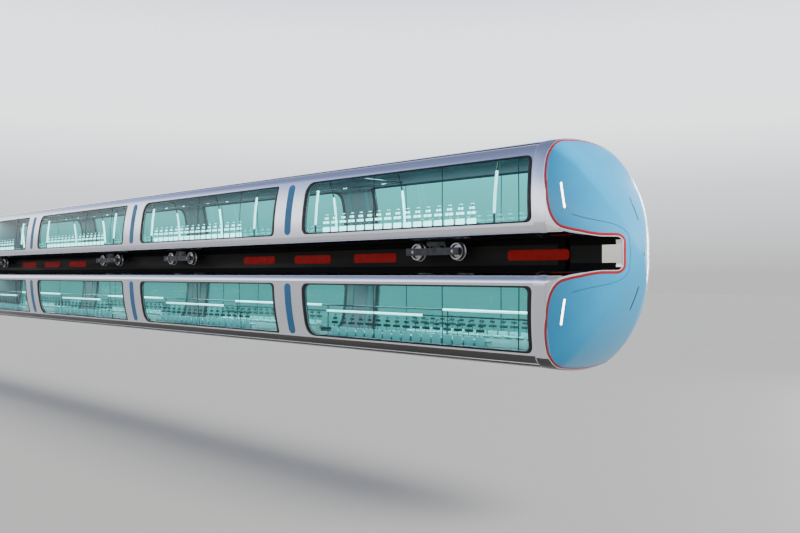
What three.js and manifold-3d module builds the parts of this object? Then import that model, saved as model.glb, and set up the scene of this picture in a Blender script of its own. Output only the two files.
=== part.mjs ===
// A double-deck train at 1:2 scale, in millimetres, +X forward, +Y to its left, +Z up.
// An upper and a lower passenger deck mirror each other above and below a narrow spine, and
// the side slots between them take the guideway rails. The origin is the middle of the train.
import * as THREE from 'three';
import { mergeVertices } from 'three/addons/utils/BufferGeometryUtils.js';
import Module from 'manifold-3d';

const wasm = await Module();
wasm.setup();

// Main sizes along the train.
const BODY_HALF = 12600; // middle of the train to the end of the straight body
const NOSE_LENGTH = 1000;
const BAY_PITCH = 6520; // one window and one pillar
const PILLAR_WIDTH = 880;
const PILLAR_SHIFT = -80; // of the right side's pillars
const END_MARGIN = 230; // last window to the end of the straight body
const END_FRAME = 90; // thickness of the plate that closes both decks

// Cross-section: the side is upright at the slot's lip and leans in towards the roof.
const HALF_WIDTH = 920;
const SPINE_HALF = 300;
const SLOT_HALF = 250;
const LIP_INNER_Y = 640;
const LIP_TOP_Z = 420;
const SIDE_RADIUS = 4000;
const SEAM_Z = 1500; // joint between side wall and roof
const SHOULDER_RADIUS = 260;
const SHOULDER_END = THREE.MathUtils.degToRad(80);
const WALL = 50;
const FRAME_DEPTH = 35; // outer part of the wall, in front of the glass ribbon
const FLOOR_THICKNESS = 60;
const LOWER_FLOOR_Z = 1560;
const GAP = 0.3; // between pieces that touch

// Windows, measured on the upper deck.
const WINDOW_LOW = 462;
const WINDOW_HIGH = 1474;
const CORNER = { rearTop: 260, frontLow: 120, rearLow: 160 };

// Running gear in the slots.
const AXLE_Z = 80;
const AXLE_RADIUS = 30;
const AXLE_HALF = 745;
const AXLE_OFFSET = 450; // axle to bogie centre
const WHEEL_RADIUS = 140;
const FLANGE_RADIUS = 158;
const BORE_RADIUS = 40;
const BOGIE_X = [10175, 1850, -1850, -10175];
const TRANSOM = { halfX: 90, low: 40, high: 140 };

// Dark band on the spine and its red covers.
const BAND = { halfZ: 162, depth: 20 };
const COVER = { pitch: 1850, length: 1165, halfZ: 84, depth: 12, kept: [2, 3, 4, 6] };

const train = new THREE.Group();

// Material colours and finishes.
const look = {
  silver: { color: 0xc9ccd6, roughness: 0.25, metalness: 0.9 },
  blue: { color: 0x64a5cd, roughness: 0.12, metalness: 0.1 },
  glass: { color: 0x78beb9, roughness: 0.05, metalness: 0 },
  dark: { color: 0x232320, roughness: 0.6, metalness: 0.2 },
  steel: { color: 0x8b8d90, roughness: 0.35, metalness: 0.9 },
  lamp: { color: 0xf4fbff, roughness: 0.2, metalness: 0 },
  seat: { color: 0xe4eef0, roughness: 0.5, metalness: 0 },
  rail: { color: 0xf0f2f4, roughness: 0.3, metalness: 0.4 },
};

// Closed three.js geometry to a solid, without the flat triangles at poles.
function toSolid(geometry) {
  const bare = new THREE.BufferGeometry();
  bare.setAttribute('position', geometry.getAttribute('position'));
  if (geometry.index) bare.setIndex(geometry.index);
  const merged = mergeVertices(bare, 1e-3);
  const index = merged.index.array;
  const kept = [];
  for (let i = 0; i < index.length; i += 3) {
    const [a, b, c] = [index[i], index[i + 1], index[i + 2]];
    if (a !== b && b !== c && c !== a) kept.push(a, b, c);
  }
  return new wasm.Manifold(new wasm.Mesh({
    numProp: 3,
    vertProperties: Float32Array.from(merged.attributes.position.array),
    triVerts: Uint32Array.from(kept),
  }));
}

function addPiece(name, solid, material) {
  const { numProp, vertProperties, triVerts } = solid.getMesh();
  const geometry = new THREE.BufferGeometry();
  const position = new Float32Array((vertProperties.length / numProp) * 3);
  for (let i = 0; i < position.length / 3; i += 1) {
    position.set(vertProperties.subarray(i * numProp, i * numProp + 3), i * 3);
  }
  geometry.setAttribute('position', new THREE.BufferAttribute(position, 3));
  geometry.setIndex(new THREE.BufferAttribute(Uint32Array.from(triVerts), 1));
  geometry.computeVertexNormals();
  const mesh = new THREE.Mesh(geometry, new THREE.MeshStandardMaterial(look[material]));
  mesh.name = name;
  train.add(mesh);
}

const AXIS_X = new THREE.Vector3(1, 0, 0);
const AXIS_Y = new THREE.Vector3(0, 1, 0);
const AXIS_Z = new THREE.Vector3(0, 0, 1);

// An outline of [y, z] points swept along X.
function extrudeX(outline, xLow, xHigh) {
  const shape = new THREE.Shape(outline.map(([y, z]) => new THREE.Vector2(y, z)));
  const geometry = new THREE.ExtrudeGeometry(shape, { depth: xHigh - xLow, bevelEnabled: false });
  geometry.applyMatrix4(new THREE.Matrix4().makeBasis(AXIS_Y, AXIS_Z, AXIS_X));
  geometry.translate(xLow, 0, 0);
  return toSolid(geometry);
}

// A shape in X and Z swept along Y.
function extrudeY(shape, yLow, yHigh, curveSegments) {
  const options = { depth: yHigh - yLow, bevelEnabled: false, curveSegments };
  const geometry = new THREE.ExtrudeGeometry(shape, options);
  geometry.applyMatrix4(new THREE.Matrix4().makeBasis(AXIS_X, AXIS_Z, AXIS_Y.clone().negate()));
  geometry.translate(0, yHigh, 0);
  return toSolid(geometry);
}

function block([xLow, xHigh], [yLow, yHigh], [zLow, zHigh]) {
  const geometry = new THREE.BoxGeometry(xHigh - xLow, yHigh - yLow, zHigh - zLow);
  geometry.translate((xLow + xHigh) / 2, (yLow + yHigh) / 2, (zLow + zHigh) / 2);
  return toSolid(geometry);
}

// A round bar between two points.
function bar(from, to, radius, sides) {
  const start = new THREE.Vector3(...from);
  const end = new THREE.Vector3(...to);
  const geometry = new THREE.CylinderGeometry(radius, radius, start.distanceTo(end), sides);
  const direction = end.clone().sub(start).normalize();
  geometry.applyQuaternion(new THREE.Quaternion().setFromUnitVectors(AXIS_Y, direction));
  const middle = start.add(end).multiplyScalar(0.5);
  geometry.translate(middle.x, middle.y, middle.z);
  return toSolid(geometry);
}

function union(solids) {
  return solids.reduce((sum, solid) => sum.add(solid));
}

// Rings of [y, z] points at rising x, counter-clockwise seen from +X, closed by flat ends.
function loft(rings) {
  const count = rings[0].outline.length;
  const position = rings.flatMap(({ x, outline }) => outline.flatMap(([y, z]) => [x, y, z]));
  const index = [];
  for (let ring = 0; ring < rings.length - 1; ring += 1) {
    for (let j = 0; j < count; j += 1) {
      const a = ring * count + j;
      const b = ring * count + (j + 1) % count;
      index.push(a, b, a + count, b, b + count, a + count);
    }
  }
  const last = (rings.length - 1) * count;
  const flat = (outline) => THREE.ShapeUtils.triangulateShape(
    outline.map(([y, z]) => new THREE.Vector2(y, z)), []);
  for (const [a, b, c] of flat(rings[0].outline)) index.push(a, c, b);
  for (const [a, b, c] of flat(rings.at(-1).outline)) index.push(last + a, last + b, last + c);
  const geometry = new THREE.BufferGeometry();
  geometry.setAttribute('position', new THREE.Float32BufferAttribute(position, 3));
  geometry.setIndex(index);
  return toSolid(geometry);
}

function arc([y, z], radius, from, to, segments) {
  return Array.from({ length: segments + 1 }, (_, i) => {
    const angle = from + (to - from) * (i / segments);
    return [y + radius * Math.cos(angle), z + radius * Math.sin(angle)];
  });
}

// The section's arcs share centres, so that an inset skin is parallel to the outer one.
const SIDE_CENTRE = [HALF_WIDTH - SIDE_RADIUS, LIP_TOP_Z];
const SEAM_ANGLE = Math.asin((SEAM_Z - LIP_TOP_Z) / SIDE_RADIUS);
const GAP_ANGLE = GAP / SIDE_RADIUS;
const SHOULDER_CENTRE = [
  SIDE_CENTRE[0] + (SIDE_RADIUS - SHOULDER_RADIUS) * Math.cos(SEAM_ANGLE),
  SIDE_CENTRE[1] + (SIDE_RADIUS - SHOULDER_RADIUS) * Math.sin(SEAM_ANGLE),
];
const SHOULDER_END_Y = SHOULDER_CENTRE[0] + SHOULDER_RADIUS * Math.cos(SHOULDER_END);
const ROOF_RADIUS = SHOULDER_END_Y / Math.cos(SHOULDER_END);
const ROOF_CENTRE = [0, SHOULDER_CENTRE[1]
  + (SHOULDER_RADIUS - ROOF_RADIUS) * Math.sin(SHOULDER_END)];

const mirrorY = (outline) => outline.map(([y, z]) => [-y, z]).reverse();
const mirrorZ = (outline) => outline.map(([y, z]) => [y, -z]).reverse();

function sideArc(inset, from, to) {
  return arc(SIDE_CENTRE, SIDE_RADIUS - inset, from, to, 4);
}

// Shoulder and roof from the seam on +Y to the crown.
function roofArc(inset) {
  const shoulder = arc(SHOULDER_CENTRE, SHOULDER_RADIUS - inset, SEAM_ANGLE, SHOULDER_END, 4);
  const roof = arc(ROOF_CENTRE, ROOF_RADIUS - inset, SHOULDER_END, Math.PI / 2, 2);
  return [...shoulder, ...roof.slice(1)];
}

// The lip that rolls from the slot's ceiling out to the side.
function lip(start, bend, end) {
  const curve = new THREE.QuadraticBezierCurve(
    new THREE.Vector2(...start), new THREE.Vector2(...bend), new THREE.Vector2(...end));
  return curve.getPoints(5).map(({ x, y }) => [x, y]);
}
const OUTER_LIP = lip([LIP_INNER_Y, SLOT_HALF], [905, 256], [HALF_WIDTH, LIP_TOP_Z]);
const INNER_LIP = lip([LIP_INNER_Y + 80, SLOT_HALF + FLOOR_THICKNESS],
  [HALF_WIDTH - WALL - 5, 314], [HALF_WIDTH - WALL, LIP_TOP_Z]);

const OUTER_SKIN_X = BODY_HALF - END_FRAME - GAP;

// Upper and lower deck skins. Both halves of an outline meet at the middle of the train.
function addRoofAndFloors() {
  const [low, high] = [-OUTER_SKIN_X, OUTER_SKIN_X];
  const skin = [...roofArc(0), ...mirrorY(roofArc(0)).slice(1)];
  const lining = [...roofArc(WALL), ...mirrorY(roofArc(WALL)).slice(1)];
  const roof = [...skin, ...lining.reverse()];
  addPiece('roof_panel', extrudeX(roof, low, high), 'silver');

  const floor = [...mirrorY(OUTER_LIP), ...OUTER_LIP, ...[...INNER_LIP].reverse(),
    ...INNER_LIP.map(([y, z]) => [-y, z])];
  addPiece('upper_floor', extrudeX(floor, low, high), 'silver');
  addPiece('lower_ceiling', extrudeX(mirrorZ(floor), low, high), 'silver');

  const [edgeY, edgeZ] = roofArc(WALL)[0];
  const belly = [...skin, [-edgeY, edgeZ], [-edgeY, LOWER_FLOOR_Z], [edgeY, LOWER_FLOOR_Z],
    [edgeY, edgeZ]];
  addPiece('belly_panel', extrudeX(mirrorZ(belly), low, high), 'silver');
}

// Windows along the right side. The train is the same in both directions, so its left side is
// the right one turned half round about Z.
const PILLAR_HALF = PILLAR_WIDTH / 2;
const PILLARS = [-1, 0, 1].map((i) => PILLAR_SHIFT + i * BAY_PITCH);
const WINDOWS = [
  { rear: -BODY_HALF + END_MARGIN, front: PILLARS[0] - PILLAR_HALF, frontTop: 60 },
  { rear: PILLARS[0] + PILLAR_HALF, front: PILLARS[1] - PILLAR_HALF, frontTop: 60 },
  { rear: PILLARS[1] + PILLAR_HALF, front: PILLARS[2] - PILLAR_HALF, frontTop: 60 },
  { rear: PILLARS[2] + PILLAR_HALF, front: BODY_HALF - END_MARGIN, frontTop: 140 },
];

function windowShape({ rear, front, frontTop }, inset, flip) {
  const [low, high] = [WINDOW_LOW + inset, WINDOW_HIGH - inset];
  const [x0, x1] = [rear + inset, front - inset];
  const shape = new THREE.Shape();
  shape.moveTo(x0 + CORNER.rearLow, flip * low);
  shape.lineTo(x1 - CORNER.frontLow, flip * low);
  shape.quadraticCurveTo(x1, flip * low, x1, flip * (low + CORNER.frontLow));
  shape.lineTo(x1, flip * (high - frontTop));
  shape.quadraticCurveTo(x1, flip * high, x1 - frontTop, flip * high);
  shape.lineTo(x0 + CORNER.rearTop, flip * high);
  shape.quadraticCurveTo(x0, flip * high, x0, flip * (high - CORNER.rearTop));
  shape.lineTo(x0, flip * (low + CORNER.rearLow));
  shape.quadraticCurveTo(x0, flip * low, x0 + CORNER.rearLow, flip * low);
  return shape;
}

function windowHoles(inset, flip) {
  return union(WINDOWS.map((window) => extrudeY(
    windowShape(window, inset, flip), -HALF_WIDTH - WALL, 0, 3)));
}

// A strip of the right side wall between two insets and two angles above the lip.
function wallStrip(insets, angles, halfLength, flip) {
  const [outer, inner] = insets.map((inset) => sideArc(inset, ...angles));
  const outline = mirrorY([...outer, ...inner.reverse()]);
  return extrudeX(flip < 0 ? mirrorZ(outline) : outline, -halfLength, halfLength);
}

const halfTurn = (solid) => solid.mirror([1, 0, 0]).mirror([0, 1, 0]);

function addBothSides(name, solid, material) {
  addPiece(`${name}_right`, solid, material);
  addPiece(`${name}_left`, halfTurn(solid), material);
}

const DECKS = [{ name: 'upper', flip: 1 }, { name: 'lower', flip: -1 }];
const PANE = { depth: FRAME_DEPTH + 1, clearance: GAP };

// Each side wall is one frame with its windows cut. Its glass is a ribbon behind the frame
// that steps out to be flush in each window.
function addSideWalls() {
  const wallAngles = [GAP_ANGLE, SEAM_ANGLE - GAP_ANGLE];
  for (const { name, flip } of DECKS) {
    const frame = wallStrip([0, FRAME_DEPTH], wallAngles, OUTER_SKIN_X, flip);
    addBothSides(`${name}_side`, frame.subtract(windowHoles(0, flip)), 'silver');
    const ribbon = wallStrip([FRAME_DEPTH + GAP, WALL], wallAngles, OUTER_SKIN_X, flip);
    const panes = wallStrip([1, PANE.depth], wallAngles, OUTER_SKIN_X, flip)
      .intersect(windowHoles(PANE.clearance, flip));
    addBothSides(`${name}_glass`, ribbon.add(panes), 'glass');
  }
}

// Cut through the spine for each bogie's transom and its two axles.
function spineCuts() {
  const reach = SPINE_HALF + 2 * BAND.depth;
  const cuts = BOGIE_X.flatMap((x) => [
    block([x - TRANSOM.halfX - GAP, x + TRANSOM.halfX + GAP], [-reach, reach],
      [TRANSOM.low - GAP, TRANSOM.high + GAP]),
    ...[-AXLE_OFFSET, AXLE_OFFSET].map((offset) => bar(
      [x + offset, -reach, AXLE_Z], [x + offset, reach, AXLE_Z], BORE_RADIUS, 12)),
  ]);
  return union(cuts);
}

function addSpine() {
  const cuts = spineCuts();
  const height = SLOT_HALF - GAP;
  const spine = block([-OUTER_SKIN_X, OUTER_SKIN_X], [-SPINE_HALF, SPINE_HALF], [-height, height]);
  addPiece('spine', spine.subtract(cuts), 'dark');
  const coverX = COVER.kept.flatMap((k) => [1, -1].map((end) => end * COVER.pitch * (k + 0.5)));
  for (const [name, side] of [['cover_band_left', 1], ['cover_band_right', -1]]) {
    const at = (from, to) => [side * from, side * to].sort((a, b) => a - b);
    const face = SPINE_HALF + GAP + BAND.depth;
    const band = block([-OUTER_SKIN_X, OUTER_SKIN_X], at(SPINE_HALF + GAP, face),
      [-BAND.halfZ, BAND.halfZ]);
    const covers = coverX.map((x) => block([x - COVER.length / 2, x + COVER.length / 2],
      at(face - 1, face + COVER.depth), [-COVER.halfZ, COVER.halfZ]));
    addPiece(name, band.add(union(covers)).subtract(cuts), 'dark');
  }
}

// The plate that closes both decks, with the slots open at its sides.
function addEndFrames() {
  const quarter = [[SPINE_HALF, SLOT_HALF], ...OUTER_LIP,
    ...sideArc(0, 0, SEAM_ANGLE).slice(1), ...roofArc(0).slice(1)];
  const half = [...mirrorZ(quarter), ...quarter];
  const outline = [...half, ...mirrorY(half).slice(1, -1)];
  const plate = extrudeX(outline, BODY_HALF - END_FRAME, BODY_HALF);
  addPiece('front_end_frame', plate, 'silver');
  addPiece('rear_end_frame', plate.mirror([1, 0, 0]), 'silver');
}

// The nose narrows in plan as an ellipse does, and in profile it falls away sooner.
const NOSE_RINGS = 8;
const NOSE_PROFILE = { along: 1.3, across: 1.6 };
function noseHull(proud) {
  const upper = [...sideArc(0, 0, SEAM_ANGLE), ...roofArc(0).slice(1)];
  const right = [...mirrorZ(upper), ...upper];
  const outline = [...right, ...mirrorY(right).slice(1, -1)];
  const grow = 1 + proud / HALF_WIDTH;
  const rings = Array.from({ length: NOSE_RINGS + 1 }, (_, i) => {
    const angle = (i / NOSE_RINGS) * THREE.MathUtils.degToRad(88);
    const reach = Math.sin(angle);
    const width = grow * Math.cos(angle);
    const height = grow * (1 - reach ** NOSE_PROFILE.along) ** (1 / NOSE_PROFILE.across);
    return {
      x: BODY_HALF + GAP + grow * NOSE_LENGTH * reach,
      outline: outline.map(([y, z]) => [y * width, z * height]),
    };
  });
  return loft(rings);
}

// The slot in the nose follows the body's lip, and its wall flares out to the nose's skin.
const NOSE_SLOT = { flareStart: 550, flareWall: 390, corner: 90 };
function noseSlot(side) {
  const outlineAt = (wall) => {
    const corner = arc([wall + NOSE_SLOT.corner, SLOT_HALF - NOSE_SLOT.corner], NOSE_SLOT.corner,
      Math.PI, Math.PI / 2, 3);
    const upper = [...corner, ...OUTER_LIP, [HALF_WIDTH + WALL, LIP_TOP_Z]];
    return [...upper, ...mirrorZ(upper)].reverse();
  };
  const plan = [
    { x: BODY_HALF - WALL, wall: SPINE_HALF },
    { x: BODY_HALF + NOSE_SLOT.flareStart, wall: SPINE_HALF },
    { x: BODY_HALF + NOSE_LENGTH + WALL, wall: NOSE_SLOT.flareWall },
  ];
  const slot = loft(plan.map(({ x, wall }) => ({ x, outline: outlineAt(wall) })));
  return side < 0 ? slot.mirror([0, 1, 0]) : slot;
}

// Each lamp is a bar let on to the nose, and its upper end lies further back than its lower one.
const LAMP = { halfWidth: 17.5, low: [303, 635], high: [217, 1025], depth: 6 };
function lampShape(flip) {
  const [[lowX, lowZ], [highX, highZ]] = [LAMP.low, LAMP.high];
  return new THREE.Shape([
    new THREE.Vector2(BODY_HALF + lowX - LAMP.halfWidth, flip * lowZ),
    new THREE.Vector2(BODY_HALF + lowX + LAMP.halfWidth, flip * lowZ),
    new THREE.Vector2(BODY_HALF + highX + LAMP.halfWidth, flip * highZ),
    new THREE.Vector2(BODY_HALF + highX - LAMP.halfWidth, flip * highZ),
  ]);
}

function addNoses() {
  const nose = noseHull(0).subtract(noseSlot(1)).subtract(noseSlot(-1));
  addPiece('front_nose', nose, 'blue');
  addPiece('rear_nose', nose.mirror([1, 0, 0]), 'blue');
  const shell = noseHull(LAMP.depth).subtract(noseHull(GAP));
  for (const [end, sign] of [['front', 1], ['rear', -1]]) {
    for (const [deck, flip] of [['upper', 1], ['lower', -1]]) {
      for (const [side, hand] of [['left', 1], ['right', -1]]) {
        const y = [hand * SPINE_HALF, hand * (HALF_WIDTH + WALL)].sort((a, b) => a - b);
        const lamp = shell.intersect(extrudeY(lampShape(flip), ...y, 1));
        addPiece(`${end}_${deck}_${side}_lamp`, sign < 0 ? lamp.mirror([1, 0, 0]) : lamp, 'lamp');
      }
    }
  }
}

// A bogie frame hangs from the slot's ceiling on both sides, tied through the spine.
const BEAM = { halfX: 600, inner: 690, outer: 745, low: 20, high: 140, bore: 31.4 };
const HANGER = { halfX: 210, inner: 420, low: 175 };
function addBogies() {
  const parts = [block([-TRANSOM.halfX, TRANSOM.halfX], [-BEAM.inner, BEAM.inner],
    [TRANSOM.low, TRANSOM.high])];
  for (const side of [1, -1]) {
    const at = (from, to) => [side * from, side * to].sort((a, b) => a - b);
    parts.push(block([-BEAM.halfX, BEAM.halfX], at(BEAM.inner - 1, BEAM.outer),
      [BEAM.low, BEAM.high]));
    parts.push(block([-HANGER.halfX, HANGER.halfX], at(HANGER.inner, LIP_INNER_Y),
      [HANGER.low, SLOT_HALF - GAP]));
    parts.push(block([-TRANSOM.halfX, TRANSOM.halfX], at(HANGER.inner, LIP_INNER_Y),
      [TRANSOM.low, HANGER.low + 1]));
  }
  const bores = union([-AXLE_OFFSET, AXLE_OFFSET].map((x) => bar(
    [x, -AXLE_HALF - WALL, AXLE_Z], [x, AXLE_HALF + WALL, AXLE_Z], BEAM.bore, 12)));
  const frame = union(parts).subtract(bores);
  BOGIE_X.forEach((x, i) => addPiece(`bogie_frame_${i + 1}`, frame.translate([x, 0, 0]), 'dark'));
}

// Half of a wheelset's profile as radius and place along the axle, outwards from the wheel.
const WHEEL_PROFILE = [
  [AXLE_RADIUS, 540], [FLANGE_RADIUS, 552], [FLANGE_RADIUS, 566], [WHEEL_RADIUS, 575],
  [WHEEL_RADIUS, 640], [60, 640], [AXLE_RADIUS, 655], [AXLE_RADIUS, AXLE_HALF - 5],
];
function addWheelsets() {
  const half = [...WHEEL_PROFILE, [0, AXLE_HALF - 5]];
  const profile = [...half.map(([r, y]) => [r, -y]).reverse(), ...half];
  const geometry = new THREE.LatheGeometry(
    profile.map(([r, y]) => new THREE.Vector2(r, y)), 14);
  const wheelset = toSolid(geometry);
  const places = BOGIE_X.flatMap((x) => [x + AXLE_OFFSET, x - AXLE_OFFSET]);
  places.forEach((x, i) => {
    addPiece(`wheelset_${i + 1}`, wheelset.translate([x, 0, AXLE_Z]), 'steel');
  });
}

// One bench in each bay along both sides of each deck, with a separate back for each seat.
const BAYS = [-2, -1, 0, 1].map((i) => PILLAR_SHIFT + i * BAY_PITCH); // the pillar behind
const SEAT = { first: 980, pitch: 240, width: 196, perBay: 16 };
const BENCH = { front: 640, footOuter: 715, heel: 20, outer: 790, top: 215, duct: 695, ductTop: 60 };
const BACK = { outer: 830, low: 110, top: 278 };
const LOWER_INWARDS = 205; // the lower deck's floor is narrower
function addBenches() {
  const decks = [
    { deck: 'upper', floor: SLOT_HALF + FLOOR_THICKNESS + GAP, inwards: 0 },
    { deck: 'lower', floor: -LOWER_FLOOR_Z + GAP, inwards: LOWER_INWARDS },
  ];
  const length = SEAT.pitch * (SEAT.perBay - 1) + SEAT.width;
  for (const { deck, floor, inwards } of decks) {
    const place = (outline) => mirrorY(outline.map(([y, z]) => [y - inwards, z + floor]));
    const base = place([
      [BENCH.front, 0], [BENCH.footOuter, 0], [BENCH.outer, BENCH.heel],
      [BENCH.outer, BENCH.top], [BENCH.front, BENCH.top],
    ]);
    const duct = place([
      [BENCH.duct, 0], [BENCH.footOuter, 0], [BENCH.footOuter, BENCH.ductTop],
      [BENCH.duct, BENCH.ductTop],
    ]);
    const back = place([
      [BENCH.outer - 1, BACK.low], [BACK.outer, BACK.low], [BACK.outer, BACK.top],
      [BENCH.outer - 1, BACK.top],
    ]);
    const solids = BAYS.flatMap((bay) => {
      const first = bay + SEAT.first;
      const seats = Array.from({ length: SEAT.perBay }, (_, i) => first + i * SEAT.pitch);
      return [
        extrudeX(base, first, first + length),
        ...seats.map((x) => extrudeX(back, x, x + SEAT.width)),
      ];
    });
    const firstBench = BAYS[0] + SEAT.first;
    const lastBench = BAYS.at(-1) + SEAT.first;
    addBothSides(`${deck}_bench`, union([
      ...solids, extrudeX(duct, firstBench + 1, lastBench + length - 1),
    ]), 'seat');
  }
}

// The ceiling's height above the upper deck at a distance from the middle.
function ceilingAt(y) {
  const line = roofArc(WALL);
  const next = line.findIndex((point) => point[0] <= y);
  const [[y0, z0], [y1, z1]] = [line[next - 1], line[next]];
  return z0 + (z1 - z0) * ((y - y0) / (y1 - y0));
}

// Upper deck: poles that lean in towards the ceiling above a knee, a rail along each side and
// two cross rails.
const POLE = {
  radius: 16, sides: 5, foot: 665, knee: [590, 1300], top: 460, places: [550, 5000], railZ: 1480,
};
function addUpperHandrails() {
  const floor = SLOT_HALF + FLOOR_THICKNESS;
  const ceiling = ceilingAt(POLE.top + POLE.radius); // lowest over the pole
  const [kneeY, kneeZ] = POLE.knee;
  const slope = (kneeY - POLE.top) / (ceiling - kneeZ);
  const end = GAP + POLE.radius * slope; // keeps the tilted end faces clear
  const railY = kneeY - slope * (POLE.railZ - kneeZ);
  const places = BAYS.flatMap((bay) => POLE.places.map((x) => bay + x))
    .filter((x) => x > -OUTER_SKIN_X);
  const side = union([
    ...places.flatMap((x) => [
      bar([x, -POLE.foot, floor + end], [x, -kneeY, kneeZ + 8], POLE.radius, POLE.sides),
      bar([x, -kneeY, kneeZ], [x, -POLE.top, ceiling - end], POLE.radius, POLE.sides),
    ]),
    bar([places[0] - WALL, -railY, POLE.railZ], [places.at(-1) + WALL, -railY, POLE.railZ],
      POLE.radius, POLE.sides),
  ]);
  const ties = [places[0], -places[0]].map((x) => bar(
    [x, -railY, POLE.railZ], [x, railY, POLE.railZ], POLE.radius, POLE.sides));
  addPiece('upper_handrails', union([side, halfTurn(side), ...ties]), 'rail');
}

// Lower deck: two rails to lean on, one above the other along the middle, on thin posts.
const LEAN_RAIL = { low: -1027, high: -913, halfLength: 11900, postPitch: 3285, postRadius: 10 };
function addLowerHandrails() {
  const { low, high, halfLength, postPitch, postRadius } = LEAN_RAIL;
  const rails = [low, high].map((z) => bar(
    [-halfLength, 0, z], [halfLength, 0, z], POLE.radius, POLE.sides));
  const posts = [-3, -2, -1, 0, 1, 2, 3].map((i) => bar(
    [i * postPitch, 0, -LOWER_FLOOR_Z + GAP], [i * postPitch, 0, high], postRadius, POLE.sides));
  addPiece('lower_handrails', union([...rails, ...posts]), 'rail');
}

addRoofAndFloors();
addSideWalls();
addSpine();
addEndFrames();
addNoses();
addBogies();
addWheelsets();
addBenches();
addUpperHandrails();
addLowerHandrails();

export default train;
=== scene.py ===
"""Looks of the double-deck straddle train, in metres: +X forward, +Y left, +Z up.

Side shapes are made once for the upper deck, then turned and mirrored to their other places.
"""
import bisect
import itertools
import math

import bmesh
import bpy
from mathutils import Matrix, Vector
from mathutils.geometry import delaunay_2d_cdt


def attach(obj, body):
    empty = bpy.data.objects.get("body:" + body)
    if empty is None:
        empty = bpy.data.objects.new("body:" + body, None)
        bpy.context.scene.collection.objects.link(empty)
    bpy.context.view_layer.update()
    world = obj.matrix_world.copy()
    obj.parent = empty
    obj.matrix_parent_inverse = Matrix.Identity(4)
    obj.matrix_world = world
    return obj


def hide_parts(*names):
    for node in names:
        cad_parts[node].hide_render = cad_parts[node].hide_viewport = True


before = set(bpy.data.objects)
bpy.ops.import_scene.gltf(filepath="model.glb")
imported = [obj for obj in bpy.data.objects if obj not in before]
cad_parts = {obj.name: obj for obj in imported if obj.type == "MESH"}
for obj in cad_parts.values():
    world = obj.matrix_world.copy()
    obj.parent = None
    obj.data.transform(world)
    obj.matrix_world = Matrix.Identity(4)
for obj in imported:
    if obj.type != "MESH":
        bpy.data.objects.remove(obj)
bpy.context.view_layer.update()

# Section and length, as in the CAD part.
BODY_HALF, NOSE_LENGTH = 12.6, 1.0
HALF_WIDTH, SPINE_HALF, SLOT_HALF = 0.92, 0.3, 0.25
LIP_INNER_Y, LIP_TOP_Z = 0.64, 0.42
SIDE_RADIUS, SHOULDER_RADIUS = 4.0, 0.26
SEAM_Z = 1.5                       # joint between side wall and roof
SHOULDER_END = math.radians(80)
WALL = 0.05
BAY_PITCH, PILLAR_HALF = 6.52, 0.44
PILLAR_SHIFT = -0.08               # of the right side's pillars
BAYS = [PILLAR_SHIFT + i * BAY_PITCH for i in (-2, -1, 0, 1)]
COLLAR_X, SKIN_END = 12.4, 12.405
END_X = BODY_HALF - 0.001          # just behind the nose
UPPER_FLOOR_Z, LOWER_FLOOR_Z = 0.31, -1.56

SIDE_CENTRE = (HALF_WIDTH - SIDE_RADIUS, LIP_TOP_Z)
SEAM_ANGLE = math.asin((SEAM_Z - LIP_TOP_Z) / SIDE_RADIUS)
SHOULDER_CENTRE = (
    SIDE_CENTRE[0] + (SIDE_RADIUS - SHOULDER_RADIUS) * math.cos(SEAM_ANGLE),
    SIDE_CENTRE[1] + (SIDE_RADIUS - SHOULDER_RADIUS) * math.sin(SEAM_ANGLE))
SHOULDER_END_Y = SHOULDER_CENTRE[0] + SHOULDER_RADIUS * math.cos(SHOULDER_END)
ROOF_RADIUS = SHOULDER_END_Y / math.cos(SHOULDER_END)
ROOF_CENTRE = (0.0, SHOULDER_CENTRE[1]
               + (SHOULDER_RADIUS - ROOF_RADIUS) * math.sin(SHOULDER_END))

SAME = Matrix.Identity(4)
MIRROR_X = Matrix.Diagonal((-1, 1, 1, 1))
MIRROR_Y = Matrix.Diagonal((1, -1, 1, 1))
MIRROR_Z = Matrix.Diagonal((1, 1, -1, 1))
HALF_TURN = Matrix.Diagonal((-1, -1, 1, 1))
QUARTERS = [SAME, MIRROR_Z, MIRROR_Y, MIRROR_Z @ MIRROR_Y]
DECKS = (("upper", SAME), ("lower", MIRROR_Z))
SIDES = (("right", SAME), ("left", HALF_TURN))
ENDS = (("front", SAME), ("rear", MIRROR_X))


# ---- finishes

NOISE_SPAN = (0.3, 0.7)            # part of the noise that the colours spread over
ALONG = (0.05, 1, 1)


def wire(tree, node, links, values):
    """Links outputs to a node's inputs and sets its other inputs."""
    for name, output in links.items():
        tree.links.new(output, node.inputs[name])
    for name, value in values.items():
        node.inputs[name].default_value = value
    return node


def add_node(tree, kind, links=None, values=None):
    return wire(tree, tree.nodes.new("ShaderNode" + kind), links or {}, values or {})


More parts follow.
